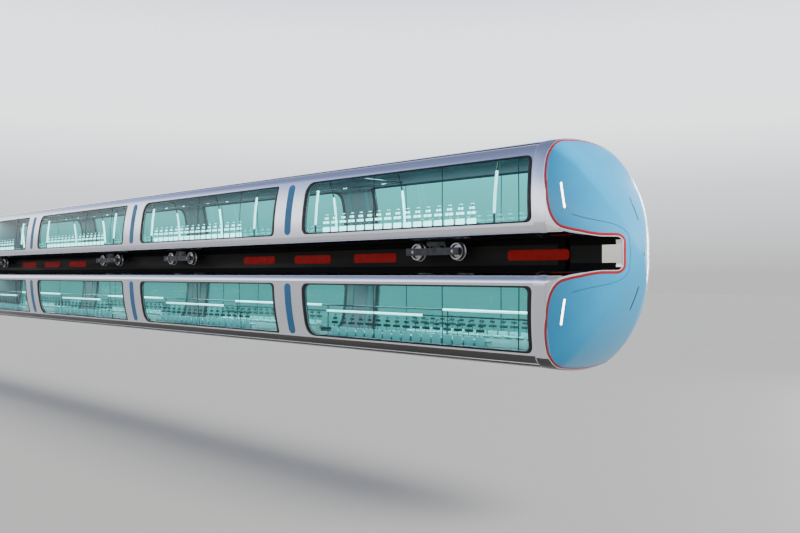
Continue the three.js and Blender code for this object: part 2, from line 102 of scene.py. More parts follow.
def finish(name, color, roughness, metallic=0.0, coat=0.0, vary=0.06, scale=6.0,
           stretch=(1, 1, 1), bump=0.0, clear=0.0, glow=0.0, second=None, specular=0.5):
    """A procedural finish: noise varies its colour and roughness, a finer one its surface."""
    material = bpy.data.materials.new(name)
    material.use_nodes = True
    tree = material.node_tree
    place = add_node(tree, "TexCoord").outputs["Object"]
    place = add_node(tree, "Mapping", {"Vector": place}, {"Scale": stretch}).outputs["Vector"]
    noise = add_node(tree, "TexNoise", {"Vector": place}, {"Scale": scale, "Detail": 5})
    ramp = add_node(tree, "ValToRGB", {"Fac": noise.outputs["Fac"]})
    low, high = ramp.color_ramp.elements
    low.position, high.position = NOISE_SPAN
    low.color = (*(second or [c * (1 - vary) for c in color]), 1)
    high.color = (*color, 1)
    spread = add_node(tree, "MapRange", {"Value": noise.outputs["Fac"]}, {
        "From Min": NOISE_SPAN[0], "From Max": NOISE_SPAN[1],
        "To Min": roughness * (1 - 2 * vary), "To Max": min(1.0, roughness * (1 + 4 * vary))})
    links = {"Base Color": ramp.outputs["Color"], "Roughness": spread.outputs["Result"]}
    values = {"Metallic": metallic, "Coat Weight": coat, "Coat Roughness": 0.04,
              "Specular IOR Level": specular}
    if bump:
        grain = add_node(tree, "TexNoise", {"Vector": place}, {"Scale": 60, "Detail": 3})
        relief = add_node(tree, "Bump", {"Height": grain.outputs["Fac"]},
                          {"Strength": bump, "Distance": 0.002})
        links["Normal"] = relief.outputs["Normal"]
    if clear:
        values |= {"Transmission Weight": clear, "IOR": 1.0}
    if glow:
        values |= {"Emission Color": (*color, 1), "Emission Strength": glow}
    wire(tree, tree.nodes["Principled BSDF"], links, values)
    return material


FINISH = {
    "silver": finish("Polished silver", (0.72, 0.73, 0.8), 0.12, 1.0, 0.2, 0.04, 5, ALONG, 0.01),
    # Painted reflection: the belly is made dark grey where the body's silver would mirror a dark
    # ground; the roof, the same shape, is silver.
    "belly": finish("Belly grey", (0.07, 0.065, 0.06), 0.3, 0.6, 0.2, 0.1, 5, ALONG, 0.03),
    "chrome": finish("Bright chrome", (0.95, 0.91, 0.8), 0.07, 1.0, 0.0, 0.04, 8),
    "blue": finish("Sky blue lacquer", (0.006, 0.285, 0.52), 0.35, 0.0, 0.5, 0.03, 3, bump=0.01,
                   second=(0.0055, 0.265, 0.495), specular=0.3),
    "blue_line": finish("Panel line", (0.004, 0.12, 0.22), 0.4, 0.0, 0.3, 0.05, 12),
    "red": finish("Red line", (0.32, 0.004, 0.006), 0.45, 0.0, 0.15, 0.08, 20),
    "cover": finish("Red cover", (0.3, 0.004, 0.003), 0.7, scale=9, bump=0.05, specular=0.2),
    "pale": finish("Pale edge", (0.82, 0.84, 0.9), 0.2, 0.8, 0.3, 0.05, 15),
    "black": finish("Black edge", (0.003, 0.0035, 0.005), 0.4, vary=0.1, scale=10, specular=0.35),
    # Painted shade: near black for the shade inside the slot between the decks, on the spine, the
    # slot's ceiling and floor, and deep in the nose's slots.
    "slot": finish("Slot black", (0.008, 0.008, 0.008), 0.8, 0.0, 0.0, 0.15, 4, ALONG, 0.1,
                   specular=0.05),
    "band": finish("Slot band", (0.016, 0.015, 0.013), 0.7, 0.0, 0.0, 0.15, 4, ALONG, 0.08,
                   specular=0.15),
    # Painted dark reflection: the dark strips along the shoulders.
    "seam": finish("Shoulder dark reflection", (0.006, 0.006, 0.008), 0.6, vary=0.1, scale=30, bump=0.1),
    "glass": finish("Teal glass", (0.1, 0.6, 0.58), 0.0, 0.0, 0.4, 0.03, 2, clear=1.0),
    "stripe": finish("Pillar blue", (0.02, 0.13, 0.27), 0.45, vary=0.08, scale=8, specular=0.3),
    "inside": finish("Lining", (0.12, 0.1, 0.115), 0.5, vary=0.08, scale=4, bump=0.05),
    "teal": finish("Inner strip", (0.08, 0.13, 0.15), 0.5, vary=0.08, scale=6),
    "floor": finish("Deck floor", (0.1, 0.13, 0.14), 0.55, vary=0.12, scale=30, bump=0.1),
    "seat": finish("White seat shell", (0.9, 0.94, 0.94), 0.35, 0.0, 0.2, 0.04, 12, bump=0.03),
    # Painted light: the upper deck's seat backs and slats glow, though they hold no lamp, to look
    # brightly lit.
    "seat_painted_light": finish("Bright seat back", (0.92, 0.95, 0.95), 0.35, 0.0, 0.2, 0.04, 12,
                        glow=4.5),
    "seat_inner": finish("Seat cover", (0.22, 0.4, 0.4), 0.6, vary=0.08, scale=12, bump=0.08),
    "seat_base": finish("Seat base", (0.3, 0.36, 0.37), 0.5, vary=0.08, scale=10, bump=0.06),
    # Painted shade: the lower deck's seat slats are made dark so that the same seats look shaded.
    "seat_dark": finish("Dark seat slat", (0.02, 0.03, 0.033), 0.4, 0.0, 0.1, 0.1, 12),
    "rail": finish("Black rail", (0.006, 0.007, 0.008), 0.3, 0.1, 0.2, 0.1, 25),
    # Painted light: the white pole and rail sleeves glow, though they are no lamps, to look
    # brightly lit.
    "sleeve": finish("White sleeve", (0.92, 0.95, 0.95), 0.3, 0.0, 0.3, 0.04, 25, glow=3.0),
    "lamp": finish("Lamp lens", (0.95, 0.98, 1.0), 0.1, 0.0, 0.5, 0.03, 30, glow=7.0),
    "fitting": finish("Ceiling lamp", (0.9, 0.96, 0.97), 0.3, vary=0.03, scale=30, glow=3.0),
    "bogie": finish("Bogie paint", (0.035, 0.037, 0.04), 0.5, 0.3, 0.0, 0.2, 9, bump=0.25),
    "steel": finish("Wheel steel", (0.42, 0.42, 0.43), 0.3, 1.0, 0.0, 0.15, 12, bump=0.08),
    "bolt": finish("Brake disc", (0.25, 0.24, 0.23), 0.35, 1.0, 0.0, 0.15, 40, bump=0.15),
}


# ---- shapes

class Shape:
    """Points and faces that grow piece by piece. Each face carries the number of its finish."""

    def __init__(self):
        self.points, self.faces, self.marks = [], [], []

    def mesh(self, points, faces, mark=0):
        """Adds faces, with one mark for all or a list of marks."""
        base = len(self.points)
        self.points += [tuple(p) for p in points]
        self.faces += [tuple(base + i for i in face) for face in faces]
        self.marks += mark if isinstance(mark, list) else [mark] * len(faces)
        return self

    def grid(self, rows, mark=0, closed=False, mark_of=None):
        """Quads between rows of points. closed joins each row's last point to its first."""
        count = len(rows[0])
        cells = list(itertools.product(range(len(rows) - 1), range(count if closed else count - 1)))
        faces = []
        for i, j in cells:
            a, b = i * count + j, i * count + (j + 1) % count
            faces.append((a, b, b + count, a + count))
        return self.mesh([p for row in rows for p in row], faces,
                         [mark_of(*cell) for cell in cells] if mark_of else mark)

    def add(self, other):
        return self.mesh(other.points, other.faces, other.marks)

    def copy(self, moves):
        """The shape repeated by each matrix."""
        out = Shape()
        for move in moves:
            order = -1 if move.determinant() < 0 else 1
            out.mesh([move @ Vector(p) for p in self.points],
                     [face[::order] for face in self.faces], self.marks)
        return out

    def mark_outer_side(self, mark, depth):
        """Gives a mark to the faces that lie within a depth of the shape's lowest y."""
        outer = min(p[1] for p in self.points) + depth
        for k, face in enumerate(self.faces):
            if sum(self.points[i][1] for i in face) / len(face) < outer:
                self.marks[k] = mark
        return self


def add_object(name, data):
    obj = bpy.data.objects.new(name, data)
    bpy.context.scene.collection.objects.link(obj)
    return obj


def piece(name, shape, finishes, body="body", replaces=(), sharp=35, normal_of=None):
    """A mesh object from a shape, smooth up to the sharp angle, riding on its CAD body."""
    mesh = bpy.data.meshes.new(name)
    bm = bmesh.new()
    points = [bm.verts.new(p) for p in shape.points]
    for face, mark in zip(shape.faces, shape.marks):
        if len(set(face)) > 2:
            try:
                bm.faces.new([points[i] for i in face]).material_index = mark
            except ValueError:     # the face is there already or has a corner twice
                pass
    bmesh.ops.remove_doubles(bm, verts=bm.verts, dist=2e-5)
    bmesh.ops.dissolve_degenerate(bm, dist=1e-5, edges=bm.edges)
    bmesh.ops.recalc_face_normals(bm, faces=bm.faces)
    bm.to_mesh(mesh)
    bm.free()
    for key in finishes:
        mesh.materials.append(FINISH[key])
    mesh.shade_smooth()
    mesh.set_sharp_from_angle(angle=math.radians(sharp))
    obj = add_object(name, mesh)
    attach(obj, body)
    if replaces:
        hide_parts(*replaces)
    if normal_of:
        mesh.normals_split_custom_set_from_vertices([normal_of(v.co) for v in mesh.vertices])
    return obj


def clamp(value, low=0.0, high=1.0):
    return max(low, min(high, value))


def between(a, b, t):
    """The place at a share of the way from one point to another."""
    return tuple(p + (q - p) * t for p, q in zip(a, b))


def steps(start, end, count):
    return [start + (end - start) * i / count for i in range(count + 1)]


def on_arc(centre, radius, angle):
    return (centre[0] + radius * math.cos(angle), centre[1] + radius * math.sin(angle))


def arc(centre, radius, start, end, count):
    return [on_arc(centre, radius, angle) for angle in steps(start, end, count)]


def bezier(a, b, c, count):
    return [between(between(a, b, t), between(b, c, t), t) for t in steps(0, 1, count)]


def side_arc(count=16):
    return arc(SIDE_CENTRE, SIDE_RADIUS, 0, SEAM_ANGLE, count)


def roof_arc(inset=0.0, shoulder=14, roof=12):
    return (arc(SHOULDER_CENTRE, SHOULDER_RADIUS - inset, SEAM_ANGLE, SHOULDER_END, shoulder)
            + arc(ROOF_CENTRE, ROOF_RADIUS - inset, SHOULDER_END, math.pi / 2, roof)[1:])


def mirrored(line):
    """A section line's mirror image on the other side, run the other way."""
    return [(-y, z) for y, z in reversed(line)]


def both(line):
    """A +Y half of a section line and its mirror image, as one line over the top."""
    return line + mirrored(line[:-1])


OUTER_LIP = bezier((LIP_INNER_Y, SLOT_HALF), (0.905, 0.256), (HALF_WIDTH, LIP_TOP_Z), 14)
INNER_LIP = bezier((0.72, 0.31), (0.865, 0.314), (0.87, LIP_TOP_Z), 10)
# A deck's outline on +Y, from the slot's ceiling over the lip to the crown.
HALF_SECTION = OUTER_LIP + side_arc(18)[1:] + roof_arc()[1:]
STATIONS = [-SKIN_END, 0.9 - 2 * BAY_PITCH, -BAY_PITCH, 0.0, BAY_PITCH, 2 * BAY_PITCH - 0.9,
            SKIN_END]


def sweep(shape, line, stations=STATIONS, mark=0, mark_of=None):
    """A section line of (y, z) carried along X."""
    shape.grid([[(x, y, z) for y, z in line] for x in stations], mark, mark_of=mark_of)


def block(low, high):
    """A plain box."""
    return Shape().mesh(itertools.product(*zip(low, high)), [
        (0, 1, 3, 2), (4, 6, 7, 5), (0, 4, 5, 1), (2, 3, 7, 6), (0, 2, 6, 4), (1, 5, 7, 3)])


def rounded(low, high, radius, count=3):
    """A box with rounded edges."""
    bm = bmesh.new()
    bmesh.ops.create_cube(bm, size=1)
    size = [b - a for a, b in zip(low, high)]
    for v in bm.verts:
        v.co = [a + s * (0.5 + c) for a, s, c in zip(low, size, v.co)]
    bmesh.ops.bevel(bm, geom=bm.edges, offset=min(radius, min(size) * 0.49), segments=count,
                    profile=0.5, affect="EDGES", clamp_overlap=True)
    bm.verts.index_update()
    out = Shape().mesh([v.co for v in bm.verts], [[v.index for v in f.verts] for f in bm.faces])
    bm.free()
    return out


def tube(path, radius, sides=12):
    """A round bar along a path of points. radius is one size or a list of one for each point."""
    points = [Vector(p) for p in path]
    sizes = radius if isinstance(radius, list) else [radius] * len(points)
    rows, side = [], None
    for i, p in enumerate(points):
        ahead = (points[min(i + 1, len(points) - 1)] - points[max(i - 1, 0)]).normalized()
        if side is None:
            side = ahead.orthogonal().normalized()
        side = (side - ahead * side.dot(ahead)).normalized()
        up = ahead.cross(side)
        rows.append([p + sizes[i] * (math.cos(a) * side + math.sin(a) * up)
                     for a in steps(0, 2 * math.pi, sides)[:-1]])
    out = Shape().grid(rows, closed=True)
    out.mesh(rows[0], [range(sides)[::-1]])
    return out.mesh(rows[-1], [range(sides)])


def bolt_heads(count, ring, radius, height, y, x=0.0, z=0.0, turn=0.0):
    """A ring of six-sided heads on both outer faces, round an axis along Y."""
    out = Shape()
    for hand in (1, -1):
        for angle in steps(turn, turn + 2 * math.pi, count)[:-1]:
            px, pz = on_arc((x, z), ring, angle)
            out.add(tube([(px, hand * y, pz), (px, hand * (y + height), pz)], radius, 6))
    return out


# ---- body skins

SEAM_END = COLLAR_X - 0.06
# Dark strip along each shoulder, a painted dark reflection, with a pale bead below, a painted
# highlight: share of the shoulder's turn, half width and rise.
SHOULDER_LINES = (("shoulder_dark_reflections", "seam", "spine_dark", 0.62, 0.013, 0.004),
                  ("shoulder_highlights", "pale", "silver", 0.52, 0.01, 0.003))


def build_roof_and_belly():
    skin, lining = both(roof_arc()), both(roof_arc(WALL))
    roof, belly = Shape(), Shape()
    sweep(roof, skin)
    sweep(roof, lining, mark=1)
    for k in (0, -1):
        sweep(roof, [skin[k], lining[k]], mark=1)
    piece("roof_skin", roof, ["silver", "inside"], replaces=["roof_panel"])

    # The belly skin takes the dark belly finish: painted reflection.
    sweep(belly, [(y, -z) for y, z in skin])
    (skin_y, skin_z), (edge_y, edge_z) = skin[0], lining[0]
    edge = [(skin_y, -skin_z), (edge_y, -edge_z), (edge_y, LOWER_FLOOR_Z)]
    sweep(belly, edge + mirrored(edge), mark=1)
    piece("belly_skin", belly, ["belly", "floor"], replaces=["belly_panel"])

    for name, key, slot, share, half, rise in SHOULDER_LINES:
        angle = SEAM_ANGLE + (SHOULDER_END - SEAM_ANGLE) * share
        foot, top = half / SHOULDER_RADIUS, half / 0.4
        line = [on_arc(SHOULDER_CENTRE, SHOULDER_RADIUS + out, angle + turn)
                for turn, out in ((-foot, -0.002), (-top, rise), (top, rise), (foot, -0.002))]
        shape = Shape()
        sweep(shape, line, [-SEAM_END, SEAM_END])
        piece(name, shape.copy(QUARTERS), [key])


def build_floors():
    """The upper deck's floor and the lower deck's ceiling, each with its rolled lip."""
    shape = Shape()
    middle = len(OUTER_LIP) - 1
    # The slot's ceiling (floor for the lower deck) and the lips' inner curves take the near-black
    # slot finish: painted shade.
    sweep(shape, mirrored(OUTER_LIP) + OUTER_LIP,
          mark_of=lambda i, j: 1 if abs(j - middle) <= 5 else 0)
    sweep(shape, mirrored(INNER_LIP) + INNER_LIP, mark=2)
    for hand in (1, -1):
        sweep(shape, [(hand * HALF_WIDTH, LIP_TOP_Z), (hand * 0.87, LIP_TOP_Z)], mark=2)
    for name, node, move, top in (("upper_deck_floor", "upper_floor", SAME, "floor"),
                                  ("lower_deck_ceiling", "lower_ceiling", MIRROR_Z, "inside")):
        piece(name, shape.copy([move]), ["silver", "slot", top], replaces=[node])


# ---- side walls and windows

WINDOW_LOW, WINDOW_HIGH = 0.462, 1.474
REAR_TOP, FRONT_LOW, REAR_LOW = 0.26, 0.12, 0.16   # sizes of the windows' corners
# Rear end, front end, size of the front top corner, and how far the rear and the front upright
# edge lean inwards at the top.
WINDOWS = [(-12.37, BAYS[1] - PILLAR_HALF, 0.06, 0.09, 0.0),
           (BAYS[1] + PILLAR_HALF, BAYS[2] - PILLAR_HALF, 0.06, 0.0, 0.0),
           (BAYS[2] + PILLAR_HALF, BAYS[3] - PILLAR_HALF, 0.06, 0.0, 0.0),
           (BAYS[3] + PILLAR_HALF, 12.37, 0.14, 0.0, 0.09)]
# Strips round a window: insets from its outline at the uprights and, where they differ, at the
# top and bottom, then the depth in the wall.
EDGE = (0.085, 0.03)
REVEAL = [(0.0, 0.0), (0.002, 0.004)]
BLACK_EDGE = [(0.002, 0.004), (0.006, -0.001), (0.03, 0.012, -0.003), (0.07, 0.022, -0.002),
              (0.08, 0.027, 0.003), (*EDGE, 0.008)]
OPENING = [(*EDGE, WALL), (*EDGE, 0.02)]
INNER_RING = [(*EDGE, WALL - 0.004), (*EDGE, WALL + 0.009), (0.015, -0.01, WALL + 0.009),
              (0.01, -0.013, WALL - 0.002)]
GLASS_DEPTH = 0.007
ROWS = steps(LIP_TOP_Z, SEAM_Z, 14)[1:-1]
PANE_JOINTS = [12.125, 10.575, 8.93, 4.75, 3.065, -1.276, -2.8, -7.9, -10.3]
JOINT_RAKE = 0.88                  # backwards for each metre that the wall leans in
# Upright bars on the wall: places along the train with their depths.
PANE_JOINT = ((-0.008, 0.009), (-0.006, 0.003), (0.006, 0.003), (0.008, 0.009))
COLUMN = ((-0.2, 0.049), (-0.18, 0.07), (0.18, 0.07), (0.2, 0.049))
INNER_STRIP = ((-0.05, 0.049), (-0.045, 0.058), (0.045, 0.058), (0.05, 0.049))


def window_loop(window, inset, level=None):
    """The window's outline in x and z, with rounded corners, inset by one or two amounts."""
    level = inset if level is None else level
    x0, x1 = window[0] + inset, window[1] - inset
    low, high = WINDOW_LOW + level, WINDOW_HIGH - level
    rear_top, front_top, front_low, rear_low = (
        max(0.02, size - 0.45 * level) for size in (REAR_TOP, window[2], FRONT_LOW, REAR_LOW))
    corners = [
        ((x1 - front_low, low), (x1, low), (x1, low + front_low)),
        ((x1, high - front_top), (x1, high), (x1 - front_top, high)),
        ((x0 + rear_top, high), (x0, high), (x0, high - rear_top)),
        ((x0, low + rear_low), (x0, low), (x0 + rear_low, low))]
    # Each straight run has as many points at every inset.
    runs = [round((WINDOW_HIGH - WINDOW_LOW) / 0.05), round((window[1] - window[0]) / 0.4)]
    loop = []
    for k, corner in enumerate(corners):
        loop += bezier(*corner, 8)
        run = runs[k % 2]
        loop += [between(corner[2], corners[(k + 1) % 4][0], i / run) for i in range(1, run)]
    return [(lean_in(window, x, z), z) for x, z in loop]


def lean_in(window, x, z):
    """Moves a place near a window's leaning edge by the edge's lean at that height."""
    rise = (z - WINDOW_LOW) / (WINDOW_HIGH - WINDOW_LOW)
    rear, front = (max(0.0, 1 - away / 0.6) for away in (x - window[0], window[1] - x))
    return x + rise * (window[3] * rear - window[4] * front)


def on_wall(x, z, inset=0.0):
    """A point of the right side wall of the upper deck."""
    angle = math.asin(clamp((z - LIP_TOP_Z) / SIDE_RADIUS, -1))
    y, z = on_arc(SIDE_CENTRE, SIDE_RADIUS - inset, angle)
    return (x, -y, z)


def wall_normal(place):
    lean = (abs(place.z) - LIP_TOP_Z) / SIDE_RADIUS
    return (0.0, math.copysign(math.sqrt(1 - lean * lean), place.y), math.copysign(lean, place.z))


def inside_loop(x, z, loop):
    hit = False
    for (x0, z0), (x1, z1) in zip(loop, loop[1:] + loop[:1]):
        if (z0 > z) != (z1 > z) and x < x0 + (z - z0) * (x1 - x0) / (z1 - z0):
            hit = not hit
    return hit


def fill(points, edges, keep, tolerance):
    """Triangles between edges, kept where their middle passes a test: points and faces."""
    found, _, faces, _, _, _ = delaunay_2d_cdt([Vector(p) for p in points], edges, [], 0,
                                               tolerance)
    kept = [face for face in faces
            if keep(*(sum(found[i][k] for i in face) / 3 for k in (0, 1)))]
    used = sorted({i for face in kept for i in face})
    number = {i: n for n, i in enumerate(used)}
    return [found[i] for i in used], [[number[i] for i in face] for face in kept]


def wall_sheet(shape, border, holes, rows, inset):
    """A sheet on the wall between a border and its holes, with rows that follow the curve."""
    points, edges = [], []
    for loop in [border] + holes:
        base = len(points)
        points += loop
        edges += [(base + i, base + (i + 1) % len(loop)) for i in range(len(loop))]
    low, high = min(border)[0] - 0.1, max(border)[0] + 0.1
    for z in rows:
        edges.append((len(points), len(points) + 1))
        points += [(low, z), (high, z)]
    found, faces = fill(points, edges, lambda x, z: inside_loop(x, z, border)
                        and not any(inside_loop(x, z, hole) for hole in holes), 1e-6)
    shape.mesh([on_wall(x, z, inset) for x, z in found], faces)


def window_strip(shape, window, rows):
    """A closed strip round a window."""
    shape.grid([[on_wall(x, z, depth) for x, z in window_loop(window, *insets)]
                for *insets, depth in rows], closed=True)


def wall_bar(shape, x, heights, profile, rake=0.0):
    """An upright bar that follows the wall."""
    shape.grid([[on_wall(x + dx - rake * (HALF_WIDTH + on_wall(0, z)[1]), z, depth)
                 for dx, depth in profile] for z in heights])


def build_sides():
    heights = [LIP_TOP_Z, *ROWS, SEAM_Z]
    border = [(-SKIN_END, LIP_TOP_Z)] + [(SKIN_END, z) for z in heights]
    border += [(-SKIN_END, z) for z in reversed(heights[1:])]
    wall, inner, frames, glass, joints, rings = (Shape() for _ in range(6))
    wall_sheet(wall, border, [window_loop(w, 0.0) for w in WINDOWS], ROWS, 0.0)
    wall_sheet(inner, border, [window_loop(w, *EDGE) for w in WINDOWS], ROWS, WALL)
    heights = steps(WINDOW_LOW + EDGE[1] - 0.01, WINDOW_HIGH - EDGE[1] + 0.01, 12)
    for window in WINDOWS:
        for shape, strip in ((wall, REVEAL), (frames, BLACK_EDGE), (inner, OPENING),
                             (rings, INNER_RING)):
            window_strip(shape, window, strip)
        wall_sheet(glass, window_loop(window, *EDGE), [], ROWS, GLASS_DEPTH)
        for x in PANE_JOINTS:
            if window[0] + EDGE[0] < x < window[1] - EDGE[0]:
                wall_bar(joints, x, heights, PANE_JOINT, JOINT_RAKE)
    for (deck, flip), (side, turn) in itertools.product(DECKS, SIDES):
        move, name = [turn @ flip], f"{deck}_{side}"
        piece(f"{name}_wall", wall.copy(move), ["silver"],
              replaces=[f"{deck}_side_{side}"], sharp=50, normal_of=wall_normal)
        piece(f"{name}_wall_lining", inner.copy(move), ["inside"])
        piece(f"{name}_window_frames", frames.copy(move), ["black"])
        piece(f"{name}_panes", glass.copy(move), ["glass"],
              replaces=[f"{deck}_glass_{side}"])
        piece(f"{name}_pane_joints", joints.copy(move), ["black"])
        piece(f"{name}_inner_frames", rings.copy(move), ["black"])


STRIPE_LOW, STRIPE_HIGH, STRIPE_HALF, STRIPE_RISE = 0.45, 1.48, 0.1, 0.0035
STRIPE_END = 0.8 * STRIPE_HALF     # height of its round ends
STRIP_AWAY = 0.27                  # from the pillar's middle


def build_pillar_stripes():
    """Blue upright stripes with rounded ends on the pillars, and the pillars' inner columns."""
    stripe, column, strips = Shape(), Shape(), Shape()
    low, high = STRIPE_LOW + STRIPE_HALF, STRIPE_HIGH - STRIPE_HALF
    heights = steps(LIP_TOP_Z + 0.02, SEAM_Z - 0.01, 12)
    for x in BAYS[1:]:
        outline = [(x + STRIPE_HALF * math.cos(a), centre + STRIPE_END * math.sin(a))
                   for centre, start in ((high, 0), (low, math.pi))
                   for a in steps(start, start + math.pi, 14)]
        wall_sheet(stripe, outline, [], steps(low, high, 16), -STRIPE_RISE)
        stripe.grid([[on_wall(x + (px - x) * grow, z, depth) for px, z in outline]
                     for grow, depth in ((1, -STRIPE_RISE), (1.04, 0.001))], closed=True)
        wall_bar(column, x, heights, COLUMN)
        for dx in (-STRIP_AWAY, STRIP_AWAY):
            wall_bar(strips, x + dx, heights, INNER_STRIP)
    moves = [SAME, MIRROR_Z, HALF_TURN, HALF_TURN @ MIRROR_Z]
    piece("pillar_stripes", stripe.copy(moves), ["stripe"])
    piece("pillar_columns", column.copy(moves), ["inside"])
    piece("pillar_inner_strips", strips.copy(moves), ["teal"])


# ---- collar and noses

COLLAR_SEAM = ((-0.009, -0.001), (-0.006, 0.003), (0.002, 0.003), (0.004, -0.001))
COLLAR_SLOT_FACES = 5              # of the section that lie in the slot
COLLAR_RISE, COLLAR_BULGE = 0.002, 0.006
# How far back the collar starts at the shoulder, and the height over the lip and the distance
# from the middle where it is that far back.
SET_BACK, SET_BACK_HEIGHT, SET_BACK_Y = 0.075, 0.95, 0.7


def swell(line, amount):
    """A section line moved outwards along its own normals."""
    out = []
    for i, (y, z) in enumerate(line):
        y0, z0 = line[max(i - 1, 0)]
        y1, z1 = line[min(i + 1, len(line) - 1)]
        dy, dz = y1 - y0, z1 - z0
        size = math.hypot(dy, dz) or 1
        out.append((y + amount * dz / size, z - amount * dy / size))
    out[-1] = (0.0, line[-1][1] + amount)
    return out


def smooth(t):
    t = clamp(t)
    return t * t * (3 - 2 * t)


def collar_seam(y, z):
    """Where the collar starts: further back towards the shoulder than at the lip and crown."""
    share = smooth((z - LIP_TOP_Z) / SET_BACK_HEIGHT)
    return COLLAR_X - SET_BACK * share * smooth(y / SET_BACK_Y)


def build_collars():
    """A slightly bulged sleeve round each deck between the last window and the nose."""
    collar, seam, wall = Shape(), Shape(), Shape()
    starts = [collar_seam(y, z) for y, z in HALF_SECTION]
    stations = [(0, -0.001)] + [(t, COLLAR_RISE + COLLAR_BULGE * math.sin(math.pi * t))
                                for t in steps(0, 1, 8)]
    # The lower collar's underside takes the dark belly finish: painted reflection.
    for flip, foot in ((SAME, 0), (MIRROR_Z, 2)):
        # The faces in the slot take the near-black slot finish: painted shade.
        marks = [1 if j < COLLAR_SLOT_FACES else foot if z > SEAM_Z else 0
                 for j, (_, z) in enumerate(HALF_SECTION)]
        quarter = Shape().grid([[(x + (END_X - x) * part, y, z)
                                 for x, (y, z) in zip(starts, swell(HALF_SECTION, bulge))]
                                for part, bulge in stations], mark_of=lambda i, j: marks[j])
        quarter.grid([[(x, y, SLOT_HALF) for y in (SPINE_HALF, LIP_INNER_Y)]
                      for x in (COLLAR_X, END_X)], 1)
        collar.add(quarter.copy([flip, flip @ MIRROR_Y]))
    seam.grid([[(x + dx, y, z) for x, (y, z) in zip(starts, swell(HALF_SECTION, rise))]
               for dx, rise in COLLAR_SEAM])
    seam = seam.copy(QUARTERS)
    for end, move in ENDS:
        piece(f"{end}_collar", collar.copy([move]), ["silver", "slot", "belly"],
              replaces=[f"{end}_end_frame"])
        piece(f"{end}_collar_seam", seam.copy([move]), ["pale"])
    outline = both(HALF_SECTION)
    wall.mesh([(BODY_HALF - 0.09, y, z) for y, z in outline], [range(len(outline))])
    piece("cabin_end_walls", wall.copy([SAME, MIRROR_Z, MIRROR_X, MIRROR_X @ MIRROR_Z]),
          ["inside"])


# Outline of both decks together, as angle from +Y and distance from the middle.
NOSE_OUTLINE = [(math.atan2(z, y), math.hypot(y, z))
                for y, z in side_arc(200) + roof_arc(0, 160, 160)[1:]]
LIP_POLAR = math.atan2(LIP_TOP_Z, HALF_WIDTH)
OVERLAP_RISE = 0.011               # of the blue shell where it laps over the collar


def outline_radius(angle):
    """Distance from the middle to the outline. Between the lips the side runs straight."""
    angle = math.atan2(abs(math.sin(angle)), abs(math.cos(angle)))
    if angle < LIP_POLAR:
        return HALF_WIDTH / math.cos(angle)
    k = clamp(bisect.bisect(NOSE_OUTLINE, (angle, math.inf)) - 1, 0, len(NOSE_OUTLINE) - 2)
    (a0, r0), (a1, r1) = NOSE_OUTLINE[k:k + 2]
    return r0 + (r1 - r0) * clamp((angle - a0) / (a1 - a0))


def nose_scale(reach):
    """Width and height of the nose's section, as shares of the body's."""
    reach = clamp(reach)
    return math.sqrt(1 - reach * reach), (1 - reach ** 1.3) ** (1 / 1.6)


def nose_point(turn, angle):
    """The nose's surface: turn 0 at the collar's end and a quarter turn at the tip."""
    reach = math.sin(turn)
    width, height = nose_scale(reach)
    radius = outline_radius(angle) + OVERLAP_RISE * clamp(-turn / 0.02)
    return Vector((BODY_HALF + NOSE_LENGTH * reach, width * radius * math.cos(angle),
                   height * radius * math.sin(angle)))


def nose_normal(turn, angle):
    e = 1e-4
    t0, t1 = max(e, turn - e), min(math.pi / 2 - e, turn + e)
    along = nose_point(t1, angle) - nose_point(t0, angle)
    middle = clamp(turn, 2 * e, math.pi / 2 - 2 * e)
    around = nose_point(middle, angle + e) - nose_point(middle, angle - e)
    normal = around.cross(along).normalized()
    outward = Vector((0.3, math.cos(angle), math.sin(angle)))
    return normal if normal.dot(outward) > 0 else -normal


def vertex_normal(place):
    """The nose's normal at a point of either nose's shell."""
    turn, angle = to_turn(abs(place.x), place.y, place.z)
    normal = nose_normal(clamp(turn, 0.003, math.pi / 2 - 0.003), angle)
    return (normal.x if place.x > 0 else -normal.x, normal.y, normal.z)


def furthest(low, high, holds):
    """How far from low a test holds, by halving."""
    for _ in range(40):
        middle = (low + high) / 2
        low, high = (middle, high) if holds(middle) else (low, middle)
    return low


def nose_reach(y, z):
    """How far forward the nose's surface lies over a point of the section."""
    def covers(reach):
        width, height = nose_scale(reach)
        py, pz = y / max(width, 1e-9), z / max(height, 1e-9)
        return math.hypot(py, pz) < outline_radius(math.atan2(pz, py))
    return furthest(0.0, 1.0, covers)


def to_turn(x, y, z):
    """Turn and angle of a point of the nose's surface."""
    reach = clamp((x - BODY_HALF) / NOSE_LENGTH, -0.2)
    width, height = nose_scale(reach)
    return math.asin(reach), math.atan2(z / max(height, 1e-9), y / max(width, 1e-9))


def section_y(z):
    """Half width of the body at a height on its side or shoulder."""
    if z <= LIP_TOP_Z:
        return HALF_WIDTH
    if z <= SEAM_Z:
        return SIDE_CENTRE[0] + math.sqrt(SIDE_RADIUS ** 2 - (z - LIP_TOP_Z) ** 2)
    return SHOULDER_CENTRE[0] + math.sqrt(
        max(0, SHOULDER_RADIUS ** 2 - (z - SHOULDER_CENTRE[1]) ** 2))


def section_z(y):
    """Height of the body at a distance from the middle on its shoulder or roof."""
    centre, radius = ((SHOULDER_CENTRE, SHOULDER_RADIUS) if y > SHOULDER_END_Y
                      else (ROOF_CENTRE, ROOF_RADIUS))
    return centre[1] + math.sqrt(max(0, radius ** 2 - (y - centre[0]) ** 2))


def side_point(x, z):
    """The nose's surface on the left at a place in the side view."""
    width, height = nose_scale(min(0.9999, (x - BODY_HALF) / NOSE_LENGTH))
    return Vector((x, section_y(abs(z) / height) * width, z))


